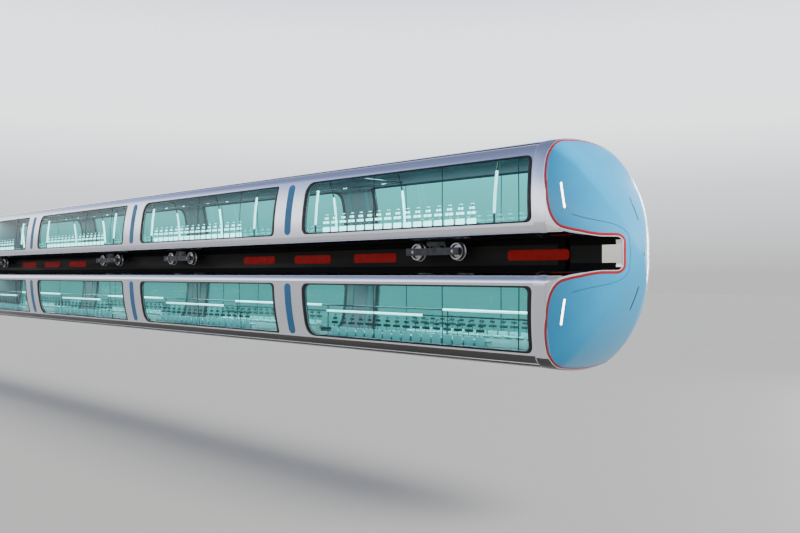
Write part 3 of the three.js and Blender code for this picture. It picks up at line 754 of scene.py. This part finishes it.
FLARE_START, FLARE_WALL, SLOT_CORNER = 0.55, 0.39, 0.09
LIP_ROWS, WALL_ROWS = 11, 4        # of the slot's lining: on the lip, and on the slot's wall
MOUTH_ROUND = 0.02                 # of the trim's edge into the slot


def slot_section(x):
    """The slot's upper half line from the wall's middle, round its corner and out to the lip.

    The wall flares out towards the nose's skin.
    """
    flare = max(0.0, (x - BODY_HALF - FLARE_START) / (NOSE_LENGTH + WALL - FLARE_START))
    wall = SPINE_HALF + (FLARE_WALL - SPINE_HALF) * flare
    start = wall + SLOT_CORNER
    low = SLOT_HALF - SLOT_CORNER
    return ([(wall, low * i / 5) for i in range(5)]
            + arc((start, low), SLOT_CORNER, math.pi, math.pi / 2, 8)
            + [(y, SLOT_HALF) for y in steps(start, LIP_INNER_Y, 6)[1:-1]] + OUTER_LIP)


def mouth_point(index):
    """Where a line of the slot's section meets the nose's surface."""
    x = furthest(BODY_HALF, BODY_HALF + NOSE_LENGTH, lambda x: (
        x < BODY_HALF + NOSE_LENGTH * nose_reach(*slot_section(x)[index])))
    return Vector((x, *slot_section(x)[index]))


# Width of the trim round the mouth at the front, and its gain further back, over a run.
TRIM_WIDTH, TRIM_GAIN, TRIM_START, TRIM_RUN = 0.018, 0.03, 13.35, 0.25
RED_FRONT_END = BODY_HALF + 0.22   # where the red line leaves the mouth
RED_CORNER = (BODY_HALF + 0.06, 0.48)


def red_curve(mouth):
    """The red line's upper half in the side view: round the mouth, then on to the collar."""
    front = []
    for i, p in enumerate(mouth):
        before, after = mouth[max(i - 1, 0)], mouth[min(i + 1, len(mouth) - 1)]
        dx, dz = (after.x - before.x, after.z - before.z) if i else (0.0, 1.0)
        wide = TRIM_WIDTH + TRIM_GAIN * clamp((TRIM_START - p.x) / TRIM_RUN)
        wide /= math.hypot(dx, dz)
        front.append((p.x + wide * dz, p.z - wide * dx))
    front = [p for p in front if p[0] > RED_FRONT_END]
    return front, bezier(front[-1], RED_CORNER, (BODY_HALF, RED_SIDE[0][0]), 14)


# The red line from the collar's end over the roof: heights on the side with the place along
# the train ahead of the collar's end, then distances from the middle with the same.
RED_SIDE = [(0.93, 0.0), (1.1, -0.033), (1.28, -0.047), (1.43, -0.038), (1.54, 0.0)]
RED_ROOF = [(0.66, 0.042), (0.5, 0.063), (0.25, 0.072), (0.0, 0.07)]


def red_top():
    """The red line's upper part as (turn, angle), smooth through its places."""
    knots = [(ahead, math.atan2(z, section_y(z))) for z, ahead in RED_SIDE]
    knots += [(ahead, math.atan2(section_z(y), y)) for y, ahead in RED_ROOF]
    out = []
    for i in range(len(knots) - 1):
        around = [knots[clamp(i + k, 0, len(knots) - 1)] for k in (-1, 0, 1, 2)]
        out += [tuple(
            q + 0.5 * t * (r - p + t * (2 * p - 5 * q + 4 * r - w + t * (3 * (q - r) + w - p)))
            for p, q, r, w in zip(*around)) for t in steps(0, 1, 6)[:-1]]
    out.append((knots[-1][0], math.pi / 2))
    return [(math.asin(ahead / NOSE_LENGTH), angle) for ahead, angle in out]


def resample(line, count):
    """Points at even steps along a line."""
    lengths = [0.0]
    for a, b in zip(line, line[1:]):
        lengths.append(lengths[-1] + math.dist(a, b))
    out = []
    for want in steps(0, lengths[-1], count):
        k = clamp(bisect.bisect_left(lengths, want) - 1, 0, len(line) - 2)
        span = lengths[k + 1] - lengths[k] or 1
        out.append(between(line[k], line[k + 1], (want - lengths[k]) / span))
    return out


TIP_TURN = math.pi / 2 - 0.01      # where the sheet ends and a flat tip closes it
RED_CLEAR = 0.012                  # between the red line and the sheet's inner points


def nose_shell(red):
    """A quarter of the blue shell: a sheet in turn and angle from the red line to the tip."""
    top = TIP_TURN
    turns = [-0.03, -0.015] + [top * (i / 46) ** 1.2 for i in range(47)]
    angles = steps(0, LIP_POLAR, 8)
    angles += [math.atan2(z, y) for y, z in side_arc()[1:] + roof_arc(0, 12, 10)[1:]]
    edge = [to_turn(*p)[::-1] for p in red]
    edge[0], edge[-1] = (0.0, edge[0][1]), (math.pi / 2, edge[-1][1])
    border = edge + [(math.pi / 2, t) for t in turns if t > edge[-1][1] + 0.005]
    border += [(a, top) for a in reversed(angles[1:-1])]
    border += [(0.0, t) for t in reversed(turns) if t > edge[0][1] + 0.01]
    edges = [(i, (i + 1) % len(border)) for i in range(len(border))]
    within = [p for p in itertools.product(angles[1:-1], turns[:-1])
              if min(math.dist(p, e) for e in edge) > RED_CLEAR and inside_loop(*p, border)]
    found, faces = fill(border + within, edges, lambda a, t: inside_loop(a, t, border), 1e-7)
    shape = Shape().mesh([nose_point(t, a) for a, t in found], faces)
    tip = [nose_point(top, a) for a in angles]
    return shape.mesh(tip + [(tip[0].x, 0, 0)],
                      [(i, i + 1, len(tip)) for i in range(len(tip) - 1)])


def nose_bead(shape, path, half, height, shift=0.0, closed=False, taper=False):
    """A rounded bead along a path on the nose's surface."""
    count = len(path)
    rows = []
    for i, p in enumerate(path):
        before = path[(i - 1) % count if closed else max(i - 1, 0)]
        after = path[(i + 1) % count if closed else min(i + 1, count - 1)]
        turn, angle = to_turn(*p)
        normal = nose_normal(max(turn, 0.002), angle)
        across = normal.cross((after - before).normalized()).normalized()
        ends = 1.0
        if taper:
            reach = min((p - path[0]).length, (path[-1] - p).length)
            ends = math.sqrt(max(0.0, 1 - (1 - min(1.0, reach / half)) ** 2))
        base = p + across * shift
        foot = across * half * ends * 1.02
        rows.append([base - foot - normal * 0.004] + [
            base - across * half * ends * math.cos(a) + normal * height * math.sin(a) * ends
            for a in steps(0, math.pi, 6)] + [base + foot - normal * 0.004])
    shape.grid(rows + rows[:1] if closed else rows)


# The fine panel line round the mouth: places along the train with their heights.
PANEL_LINE = [(12.99, 0.56), (13.05, 0.535), (13.126, 0.51), (13.212, 0.485), (13.3, 0.461),
              (13.38, 0.438), (13.44, 0.413), (13.485, 0.381), (13.52, 0.337), (13.543, 0.28),
              (13.557, 0.215), (13.565, 0.12), (13.568, 0.0)]
LAMP_ENDS = ((BODY_HALF + 0.303, 0.635), (BODY_HALF + 0.217, 1.025))
SLIT_Y = 0.1
SLITS = ((0.475, 0.835), (-0.82, -0.46), (-0.03, 0.03))    # heights of their ends


def nose_trims(mouth, front, pairs, over):
    """Bright trim from the red line into the slot, trim over the roof, and the slot's lining."""
    rows = []
    for k, (inner, outer) in enumerate(pairs):
        row = [side_point(*between(outer, inner, t)) for t in (0, 0.3, 0.6, 0.8)]
        edge = side_point(*inner)
        if k < len(front):
            x = max(END_X, mouth[k].x - MOUTH_ROUND)
            row += bezier(row[-1], edge, (x, *slot_section(x)[k]), 5)[1:]
        else:
            row += [edge] * 5
        rows.append(row)
    trim = Shape().grid(rows)
    roof_trim = Shape().grid([[nose_point(max(0.0, turn) * part, angle)
                               for part in (0, 0.33, 0.67, 1)] for turn, angle in over])
    rows = []
    for i, m in enumerate(mouth):
        start = max(END_X, m.x - (MOUTH_ROUND if i < len(front) else 0.0))
        knee = min(start, BODY_HALF + FLARE_START)
        stations = [start + (knee - start) * t for t in (0, 0.08, 0.25, 0.5, 0.75, 1)]
        stations += [knee + (END_X - knee) * t for t in (0.25, 0.5, 0.75, 1)]
        rows.append([(x, *slot_section(x)[i]) for x in stations])

    def mark(i, j):
        """Bright near the mouth and on the lip, and near black behind, which is painted shade."""
        if i >= len(mouth) - LIP_ROWS:
            return 0
        if i < WALL_ROWS:
            return 0 if j < 5 else 2
        return 0 if j < 2 else 1

    return trim, roof_trim, Shape().grid(rows, mark_of=mark)


def build_noses():
    mouth = [mouth_point(i) for i in range(len(slot_section(BODY_HALF)))]
    front, corner = red_curve(mouth)
    # Places in the side view on the mouth's or the collar's edge, each with one on the red line.
    rest = [(m.x, m.z) for m in mouth[len(front) - 1:]]
    rest += [(BODY_HALF, z) for z in steps(LIP_TOP_Z, RED_SIDE[0][0], 10)[1:]]
    pairs = [((m.x, m.z), place) for m, place in zip(mouth, front)]
    pairs += zip(resample(rest, 26)[1:], resample(corner, 26)[1:])
    over = red_top()
    red = [side_point(*place) for _, place in pairs]
    red += [nose_point(turn, angle) for turn, angle in over[1:]]
    upper = red + [MIRROR_Y @ p for p in reversed(red[:-1])]
    ring = upper + [MIRROR_Z @ p for p in reversed(upper[1:-1])]
    trim, roof_trim, lining = nose_trims(mouth, front, pairs, over)

    stripe, edge_line, lamp, rim, slits, groove = (Shape() for _ in range(6))
    nose_bead(stripe, ring, 0.02, 0.003, closed=True)
    nose_bead(edge_line, ring, 0.007, 0.002, shift=-0.026, closed=True)
    line = PANEL_LINE + [(x, -z) for x, z in reversed(PANEL_LINE[:-1])]
    nose_bead(groove, [side_point(*p) for p in resample(line, 60)], 0.006, 0.0012, taper=True)
    for shape, more, half, height in ((lamp, 0.0, 0.0165, 0.006), (rim, 0.015, 0.022, 0.003)):
        nose_bead(shape, [side_point(*between(*LAMP_ENDS, t)) for t in steps(-more, 1 + more, 24)],
                  half, height, taper=True)
    for low, high in SLITS:
        path = [Vector((BODY_HALF + NOSE_LENGTH * nose_reach(SLIT_Y, z), SLIT_Y, z))
                for z in steps(low, high, 16)]
        nose_bead(slits, path, 0.013, 0.002, taper=True)

    shell = nose_shell(red).copy(QUARTERS)
    for end, move in ENDS:
        quarter = [move @ q for q in QUARTERS]
        piece(f"{end}_nose_shell", shell.copy([move]), ["blue"],
              replaces=[f"{end}_nose"], sharp=60, normal_of=vertex_normal)
        for part, shape, moves, keys, slot, sharp in (
                ("mouth_trim", trim, quarter, ["silver"], "silver", 60),
                ("roof_trim", roof_trim, quarter[::2], ["silver"], "silver", 60),
                # The lower nose trims take the dark belly finish: painted reflection.
                ("belly_trim", roof_trim, quarter[1::2], ["belly"], "silver", 60),
                ("nose_slots", lining, quarter, ["chrome", "slot", "band"], "spine_dark", 40),
                ("red_line", stripe, [move], ["red"], "cover_red", 70),
                ("pale_line", edge_line, [move], ["pale"], "silver", 70),
                ("panel_lines", groove, [move, move @ MIRROR_Y], ["blue_line"], "nose_blue", 70),
                ("nose_slits", slits, [SAME if end == "front" else HALF_TURN], ["black"],
                 "spine_dark", 35)):
            piece(f"{end}_{part}", shape.copy(moves), keys, sharp=sharp)
        for (deck, flip), (side, hand) in itertools.product(
                DECKS, (("left", SAME), ("right", MIRROR_Y))):
            name, at = f"{end}_{deck}_{side}_lamp", [move @ flip @ hand]
            piece(f"{name}_lens", lamp.copy(at), ["lamp"], replaces=[name], sharp=70)
            piece(f"{name}_rim", rim.copy(at), ["black"], sharp=70)


# ---- slot, covers, running gear

COVER_PITCH, COVER_LENGTH, COVER_HALF_Z, COVER_CORNER = 1.85, 1.165, 0.084, 0.06
COVERS_KEPT = [2, 3, 4, 6]
COVER_LOOPS = ((0, -0.001), (0, 0.008), (-0.004, 0.012), (-0.012, 0.012))  # growth and rise
BAND_FACE = 0.3203
BAND = [(0.3003, -0.162), (0.316, -0.162), (BAND_FACE, -0.157), (BAND_FACE, 0.157),
        (0.316, 0.162), (0.3003, 0.162)]


def cad(node, key):
    """Gives a CAD node its finish."""
    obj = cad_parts[node]
    obj.data.materials.clear()
    obj.data.materials.append(FINISH[key])
    return obj


def cover_outline(x, y, grow):
    half_x, half_z, r = COVER_LENGTH / 2 + grow, COVER_HALF_Z + grow, COVER_CORNER + grow
    return [(x + cx * (half_x - r) + r * math.cos(a), y, cz * (half_z - r) + r * math.sin(a))
            for k, (cx, cz) in enumerate(((1, 1), (-1, 1), (-1, -1), (1, -1)))
            for a in steps(k * math.pi / 2, (k + 1) * math.pi / 2, 6)]


def build_slot_gear():
    # The spine takes the near-black slot finish: painted shade.
    cad("spine", "slot")
    band, covers = Shape(), Shape()
    sweep(band, BAND, [-SKIN_END, SKIN_END])
    for k, end in itertools.product(COVERS_KEPT, (1, -1)):
        loops = [cover_outline(end * COVER_PITCH * (k + 0.5), BAND_FACE + rise, grow)
                 for grow, rise in COVER_LOOPS]
        covers.grid(loops, closed=True)
        covers.mesh(loops[-1], [range(len(loops[-1]))])
    for side, move in (("left", SAME), ("right", MIRROR_Y)):
        piece(f"slot_band_{side}", band.copy([move]), ["band"],
              replaces=[f"cover_band_{side}"])
        piece(f"red_covers_{side}", covers.copy([move]), ["cover"])


BOGIE_X = [10.175, 1.85, -1.85, -10.175]
AXLE_Z, AXLE_OFFSET = 0.08, 0.45
# A wheelset's profile on +Y, from the axle's end inwards: radius and distance from the middle.
WHEEL = [(0.0, 0.74), (0.024, 0.74), (0.03, 0.735), (0.03, 0.662), (0.044, 0.655),
         (0.058, 0.642), (0.062, 0.625), (0.105, 0.615), (0.11, 0.634), (0.118, 0.64),
         (0.136, 0.64), (0.14, 0.636), (0.14, 0.577), (0.144, 0.571), (0.155, 0.567),
         (0.158, 0.562), (0.158, 0.556), (0.154, 0.552), (0.12, 0.556), (0.108, 0.568),
         (0.06, 0.572), (0.05, 0.545), (0.034, 0.538), (0.03, 0.53)]


def build_running_gear():
    line = WHEEL + [(r, -y) for r, y in reversed(WHEEL)]
    wheel = Shape().grid([[(r * math.cos(a), y, r * math.sin(a)) for r, y in line]
                          for a in steps(0, 2 * math.pi, 48)])
    bolts = bolt_heads(8, 0.085, 0.007, 0.014, 0.612).add(
        bolt_heads(3, 0.016, 0.004, 0.006, 0.738))
    axles = [x + d for x in BOGIE_X for d in (AXLE_OFFSET, -AXLE_OFFSET)]
    for i, x in enumerate(axles, 1):
        move, body = [Matrix.Translation((x, 0, AXLE_Z))], f"wheelset_{i}"
        piece(f"wheels_{i}", wheel.copy(move), ["steel"], body=body,
              replaces=[body], sharp=30)
        piece(f"wheel_bolts_{i}", bolts.copy(move), ["bolt"], body=body)
    fittings = Shape()
    for hand, x, y in itertools.product((1, -1), (-0.17, 0.17), (0.46, 0.6)):
        fittings.add(tube([(x, hand * y, 0.158), (x, hand * y, 0.176)], 0.012, 6))
    for x in (-AXLE_OFFSET, AXLE_OFFSET):
        fittings.add(bolt_heads(4, 0.045, 0.006, 0.008, 0.744, x, AXLE_Z, math.pi / 4))
    for i, x in enumerate(BOGIE_X, 1):
        edge = cad(f"bogie_frame_{i}", "bogie").modifiers.new("Edge", "BEVEL")
        edge.width, edge.segments = 0.004, 2
        edge.limit_method, edge.angle_limit = "ANGLE", math.radians(50)
        piece(f"bogie_bolts_{i}", fittings.copy([Matrix.Translation((x, 0, 0))]), ["bolt"])


# ---- inside the decks

SEAT_FIRST, SEAT_PITCH, SEAT_WIDTH, SEATS = 0.98, 0.24, 0.196, 16
# Slats above a seat's back: low and high edge, width, and how far they stand inwards.
SLATS = [(0.34, 0.385, 0.177, 0.0), (0.42, 0.46, 0.113, 0.012), (0.5, 0.515, 0.076, 0.024)]
LOWER_INWARDS = 0.205              # of the lower deck's seats


def build_benches():
    seat = rounded((0, -0.786, 0.178), (SEAT_WIDTH, -0.636, 0.214), 0.014)
    back = rounded((0, -0.826, 0.11), (SEAT_WIDTH, -0.8, 0.278), 0.012)
    seat.add(back.mark_outer_side(1, 0.008))
    slats = Shape()
    middle = SEAT_WIDTH / 2
    for low, high, width, inwards in SLATS:
        slat = rounded((middle - width / 2, inwards - 0.82, low),
                       (middle + width / 2, inwards - 0.808, high), 0.005, 2)
        slats.add(slat.mark_outer_side(1, 0.003))
    slats.add(tube([(middle, -0.824, 0.27), (middle, -0.822, 0.36), (middle, -0.8, 0.51)],
                   0.005, 6))
    length = SEAT_PITCH * (SEATS - 1) + SEAT_WIDTH
    base = rounded((0, -0.788, 0.001), (length, -0.65, 0.18), 0.012)
    base.add(block((0.01, -0.79, 0.02), (length - 0.01, -0.78, 0.17)))
    firsts = [bay + SEAT_FIRST for bay in BAYS]
    duct = block((firsts[0], -0.715, 0.001), (firsts[-1] + length, -0.695, 0.06))
    # The upper deck's seats take the glowing finish, which is painted light, and the lower deck's
    # slats take the dark one, which is painted shade: lit and shaded copies of the same seats.
    for deck, inwards, floor, back_key, slat_keys, slat_slot in (
            ("upper", 0.0, UPPER_FLOOR_Z, "seat_painted_light", ["seat_inner", "seat_painted_light"], "seat"),
            ("lower", LOWER_INWARDS, LOWER_FLOOR_Z, "seat", ["seat_dark"] * 2, "seat_dark")):
        for side, turn in SIDES:
            name = f"{deck}_{side}"
            at = [turn @ Matrix.Translation((x, inwards, floor)) for x in firsts]
            places = [place @ Matrix.Translation((i * SEAT_PITCH, 0, 0))
                      for place in at for i in range(SEATS)]
            piece(f"{name}_seats", seat.copy(places), ["seat_inner", back_key],
                  replaces=[f"{deck}_bench_{side}"], sharp=50)
            piece(f"{name}_seat_slats", slats.copy(places), slat_keys, sharp=50)
            plinth = base.copy(at).add(
                duct.copy([turn @ Matrix.Translation((0, inwards, floor))]))
            piece(f"{name}_bench_base", plinth, ["seat_base"], sharp=50)


POLE_X = [x for bay in BAYS for x in (bay + 0.55, bay + 5.0) if x > -12.5]
RAIL_Z, CEILING_Z = 1.48, 1.648
POLE_RADIUS, FOOT_RADIUS, CLIP_RADIUS = 0.015, 0.026, 0.022
RAIL_RADIUS, CROSSBAR_RADIUS, LOWER_RAIL_RADIUS = 0.018, 0.012, 0.014
CLIP_AWAY = 0.45                   # from a pole, on both sides
# Heights of a pole with its distance from the middle.
POLE_LINE = [(UPPER_FLOOR_Z, 0.662), (0.66, 0.655), (1.0, 0.633), (1.3, 0.59), (1.5, 0.53),
             (CEILING_Z, 0.462)]
POLE_HEIGHTS = (0.312, 0.6, 0.8, 1.0, 1.15, 1.3, 1.4, 1.5, 1.6, CEILING_Z)
# Heights of a pole's sleeve with its radius.
POLE_SLEEVE = ((0.655, 0.014), (0.67, 0.023), (0.8, 0.023), (0.95, 0.023), (1.1, 0.023),
               (1.22, 0.023), (1.31, 0.021), (1.325, 0.014))
LOWER_RAIL_END = 11.9
LOWER_RAILS = (-1.027, -0.913)
POST_PITCH = 3.285


def pole_y(z):
    for (z0, y0), (z1, y1) in zip(POLE_LINE, POLE_LINE[1:]):
        if z <= z1:
            return y0 + (y1 - y0) * (z - z0) / (z1 - z0)
    return POLE_LINE[-1][1]


def build_handrails():
    poles, sleeves, clips = Shape(), Shape(), Shape()
    y = pole_y(RAIL_Z)
    for x in POLE_X:
        line = [(x, -pole_y(z), z) for z in POLE_HEIGHTS]
        poles.add(tube(line, POLE_RADIUS, 14))
        poles.add(tube([line[0], (x, -pole_y(0.33), 0.33)], FOOT_RADIUS, 16))
        sleeves.add(tube([(x, -pole_y(z), z) for z, _ in POLE_SLEEVE],
                         [radius for _, radius in POLE_SLEEVE], 16))
        for at in (x - CLIP_AWAY, x + CLIP_AWAY):
            if POLE_X[0] < at < POLE_X[-1]:
                clips.add(tube([(at + dx, -y, RAIL_Z) for dx in (-0.06, 0.06)], CLIP_RADIUS, 14))
    poles.add(tube([(x, -y, RAIL_Z) for x in (POLE_X[0] - 0.05, POLE_X[-1] + 0.05)],
                   RAIL_RADIUS, 14))
    poles = poles.copy([SAME, HALF_TURN])
    for x in (POLE_X[0], -POLE_X[0]):
        poles.add(tube([(x, -y, RAIL_Z), (x, y, RAIL_Z)], CROSSBAR_RADIUS, 14))
    piece("upper_poles_and_rails", poles, ["rail"],
          replaces=["upper_handrails"], sharp=50)
    # The sleeves glow: painted light.
    piece("upper_rail_sleeves", sleeves.copy([SAME, HALF_TURN]), ["sleeve"],
          sharp=50)
    piece("upper_rail_clips", clips.copy([SAME, HALF_TURN]), ["silver"],
          sharp=50)

    rails, sleeves = Shape(), Shape()
    for z in LOWER_RAILS:
        rails.add(tube([(-LOWER_RAIL_END, 0, z), (LOWER_RAIL_END, 0, z)], LOWER_RAIL_RADIUS, 12))
    for i in range(-3, 4):
        for top, radius, sides in ((LOWER_RAILS[1], 0.009, 10), (-1.545, 0.024, 14)):
            rails.add(tube([(i * POST_PITCH, 0, LOWER_FLOOR_Z + 0.001), (i * POST_PITCH, 0, top)],
                           radius, sides))
    for bay in BAYS:
        for start, end, z in ((3.3, 6.45, LOWER_RAILS[1]), (0.1, 2.8, LOWER_RAILS[0])):
            low, high = max(-LOWER_RAIL_END, bay + start), min(LOWER_RAIL_END, bay + end)
            sleeves.add(tube([(x, 0, z) for x in (low, low + 0.01, high - 0.01, high)],
                             [0.016, 0.021, 0.021, 0.016], 14))
    piece("lower_rails_and_posts", rails, ["rail"],
          replaces=["lower_handrails"], sharp=50)
    # The sleeves glow: painted light.
    piece("lower_rail_sleeves", sleeves, ["sleeve"], sharp=50)


DUCT_END, DUCT_Y = 12.3, 0.3
# Ducts under the ceilings: middle, half width, underside, top and rounding.
DUCTS = [(y, 0.07, low, high, radius) for y in (-DUCT_Y, DUCT_Y)
         for low, high, radius in ((1.652, 1.676, 0.008), (-0.33, -0.311, 0.006))]
DUCTS.append((0.0, 0.04, 1.655, 1.68, 0.008))


def build_ceilings():
    """Longitudinal ducts under both ceilings, and small lamps under the lower deck's."""
    ducts, lamps = Shape(), Shape()
    for y, half, low, high, radius in DUCTS:
        ducts.add(rounded((-DUCT_END, y - half, low), (DUCT_END, y + half, high), radius, 2))
    for y, first in ((-DUCT_Y, -12.1), (DUCT_Y, -11.855)):
        for x in (first + i * 0.49 for i in range(50)):
            if x < 12.2:
                lamps.add(rounded((x - 0.06, y - 0.012, -0.337), (x + 0.06, y + 0.012, -0.329),
                                  0.003, 2))
    piece("ceiling_ducts", ducts, ["inside"], sharp=50)
    piece("ceiling_lamps", lamps, ["fitting"], sharp=50)


# ---- stage

FLOOR_Z, FLOOR_HALF = -4.2, 150
# The studio's light by height, from below to overhead.
WORLD_LOW, WORLD_HIGH = (0.3, 0.3, 0.3, 1), (0.09, 0.105, 0.165, 1)
WORLD_STEPS = ((0.1, (0.55, 0.57, 0.6, 1)), (0.17, (0.95, 0.98, 1.0, 1)),
               (0.27, (0.9, 0.95, 1.0, 1)), (0.38, (0.33, 0.4, 0.62, 1)),
               (0.52, (0.14, 0.17, 0.28, 1)))


def aim(obj, direction):
    obj.rotation_euler = Vector(direction).to_track_quat("-Z", "Y").to_euler()


def area_light(name, place, size, size_y, power, at, color=(1, 1, 1)):
    data = bpy.data.lights.new(name, "AREA")
    data.shape = "RECTANGLE"
    data.size, data.size_y, data.energy, data.color = size, size_y, power, color
    light = add_object(name, data)
    light.location = place
    aim(light, Vector(at) - Vector(place))
    light.visible_camera = light.visible_transmission = False
    return light


def build_stage():
    mesh = bpy.data.meshes.new("stage_floor")
    mesh.from_pydata([(x * FLOOR_HALF, y * FLOOR_HALF, FLOOR_Z)
                      for x, y in ((-1, -1), (1, -1), (1, 1), (-1, 1))], [], [(0, 1, 2, 3)])
    mesh.materials.append(finish("Studio floor", (0.27, 0.265, 0.245), 0.7, vary=0.02, scale=0.4))
    add_object("stage_floor", mesh)

    world = bpy.data.worlds.new("studio")
    bpy.context.scene.world = world
    world.use_nodes = True
    tree = world.node_tree
    place = add_node(tree, "TexCoord").outputs["Generated"]
    split = add_node(tree, "SeparateXYZ", {"Vector": place})
    ramp = add_node(tree, "ValToRGB", {"Fac": split.outputs["Z"]})
    colors = ramp.color_ramp.elements
    colors[0].color, colors[1].color = WORLD_LOW, WORLD_HIGH
    for height, color in WORLD_STEPS:
        colors.new(height).color = color
    wire(tree, tree.nodes["Background"], {"Color": ramp.outputs["Color"]}, {"Strength": 2.3})

    data = bpy.data.lights.new("soft_sun", "SUN")
    data.energy, data.angle, data.color = 9.0, math.radians(35), (1.0, 0.98, 0.95)
    sun = add_object("soft_sun", data)
    aim(sun, (-0.7, -0.1, -0.72))
    sun.visible_glossy = False
    strip = area_light("side_strip", (11.0, 25, 4), 2.2, 13, 4200, (13.3, 0, 0.2))
    strip.visible_diffuse = False
    for x in (-9.6, -3.3, 3.3, 9.6):
        area_light(f"upper_deck_{x}", (x, 0, 1.62), 5.5, 0.5, 210, (x, 0, 0.3), (0.93, 1, 1))
        area_light(f"lower_deck_{x}", (x, 0, -0.36), 5.5, 0.3, 190, (x, 0, -1.5), (0.93, 1, 1))


def build_camera():
    data = bpy.data.cameras.new("camera")
    data.sensor_width, data.lens, data.clip_end = 36, 38.25, 500
    data.shift_y = 7.5 / 800
    camera = add_object("camera", data)
    camera.location = (19.915, -10.896, -0.29)
    aim(camera, (-0.7185, 0.6955, 0.0))
    bpy.context.scene.camera = camera


for build in (build_camera, build_stage, build_roof_and_belly, build_floors, build_sides,
              build_pillar_stripes, build_collars, build_noses, build_slot_gear,
              build_running_gear, build_benches, build_handrails, build_ceilings):
    build()
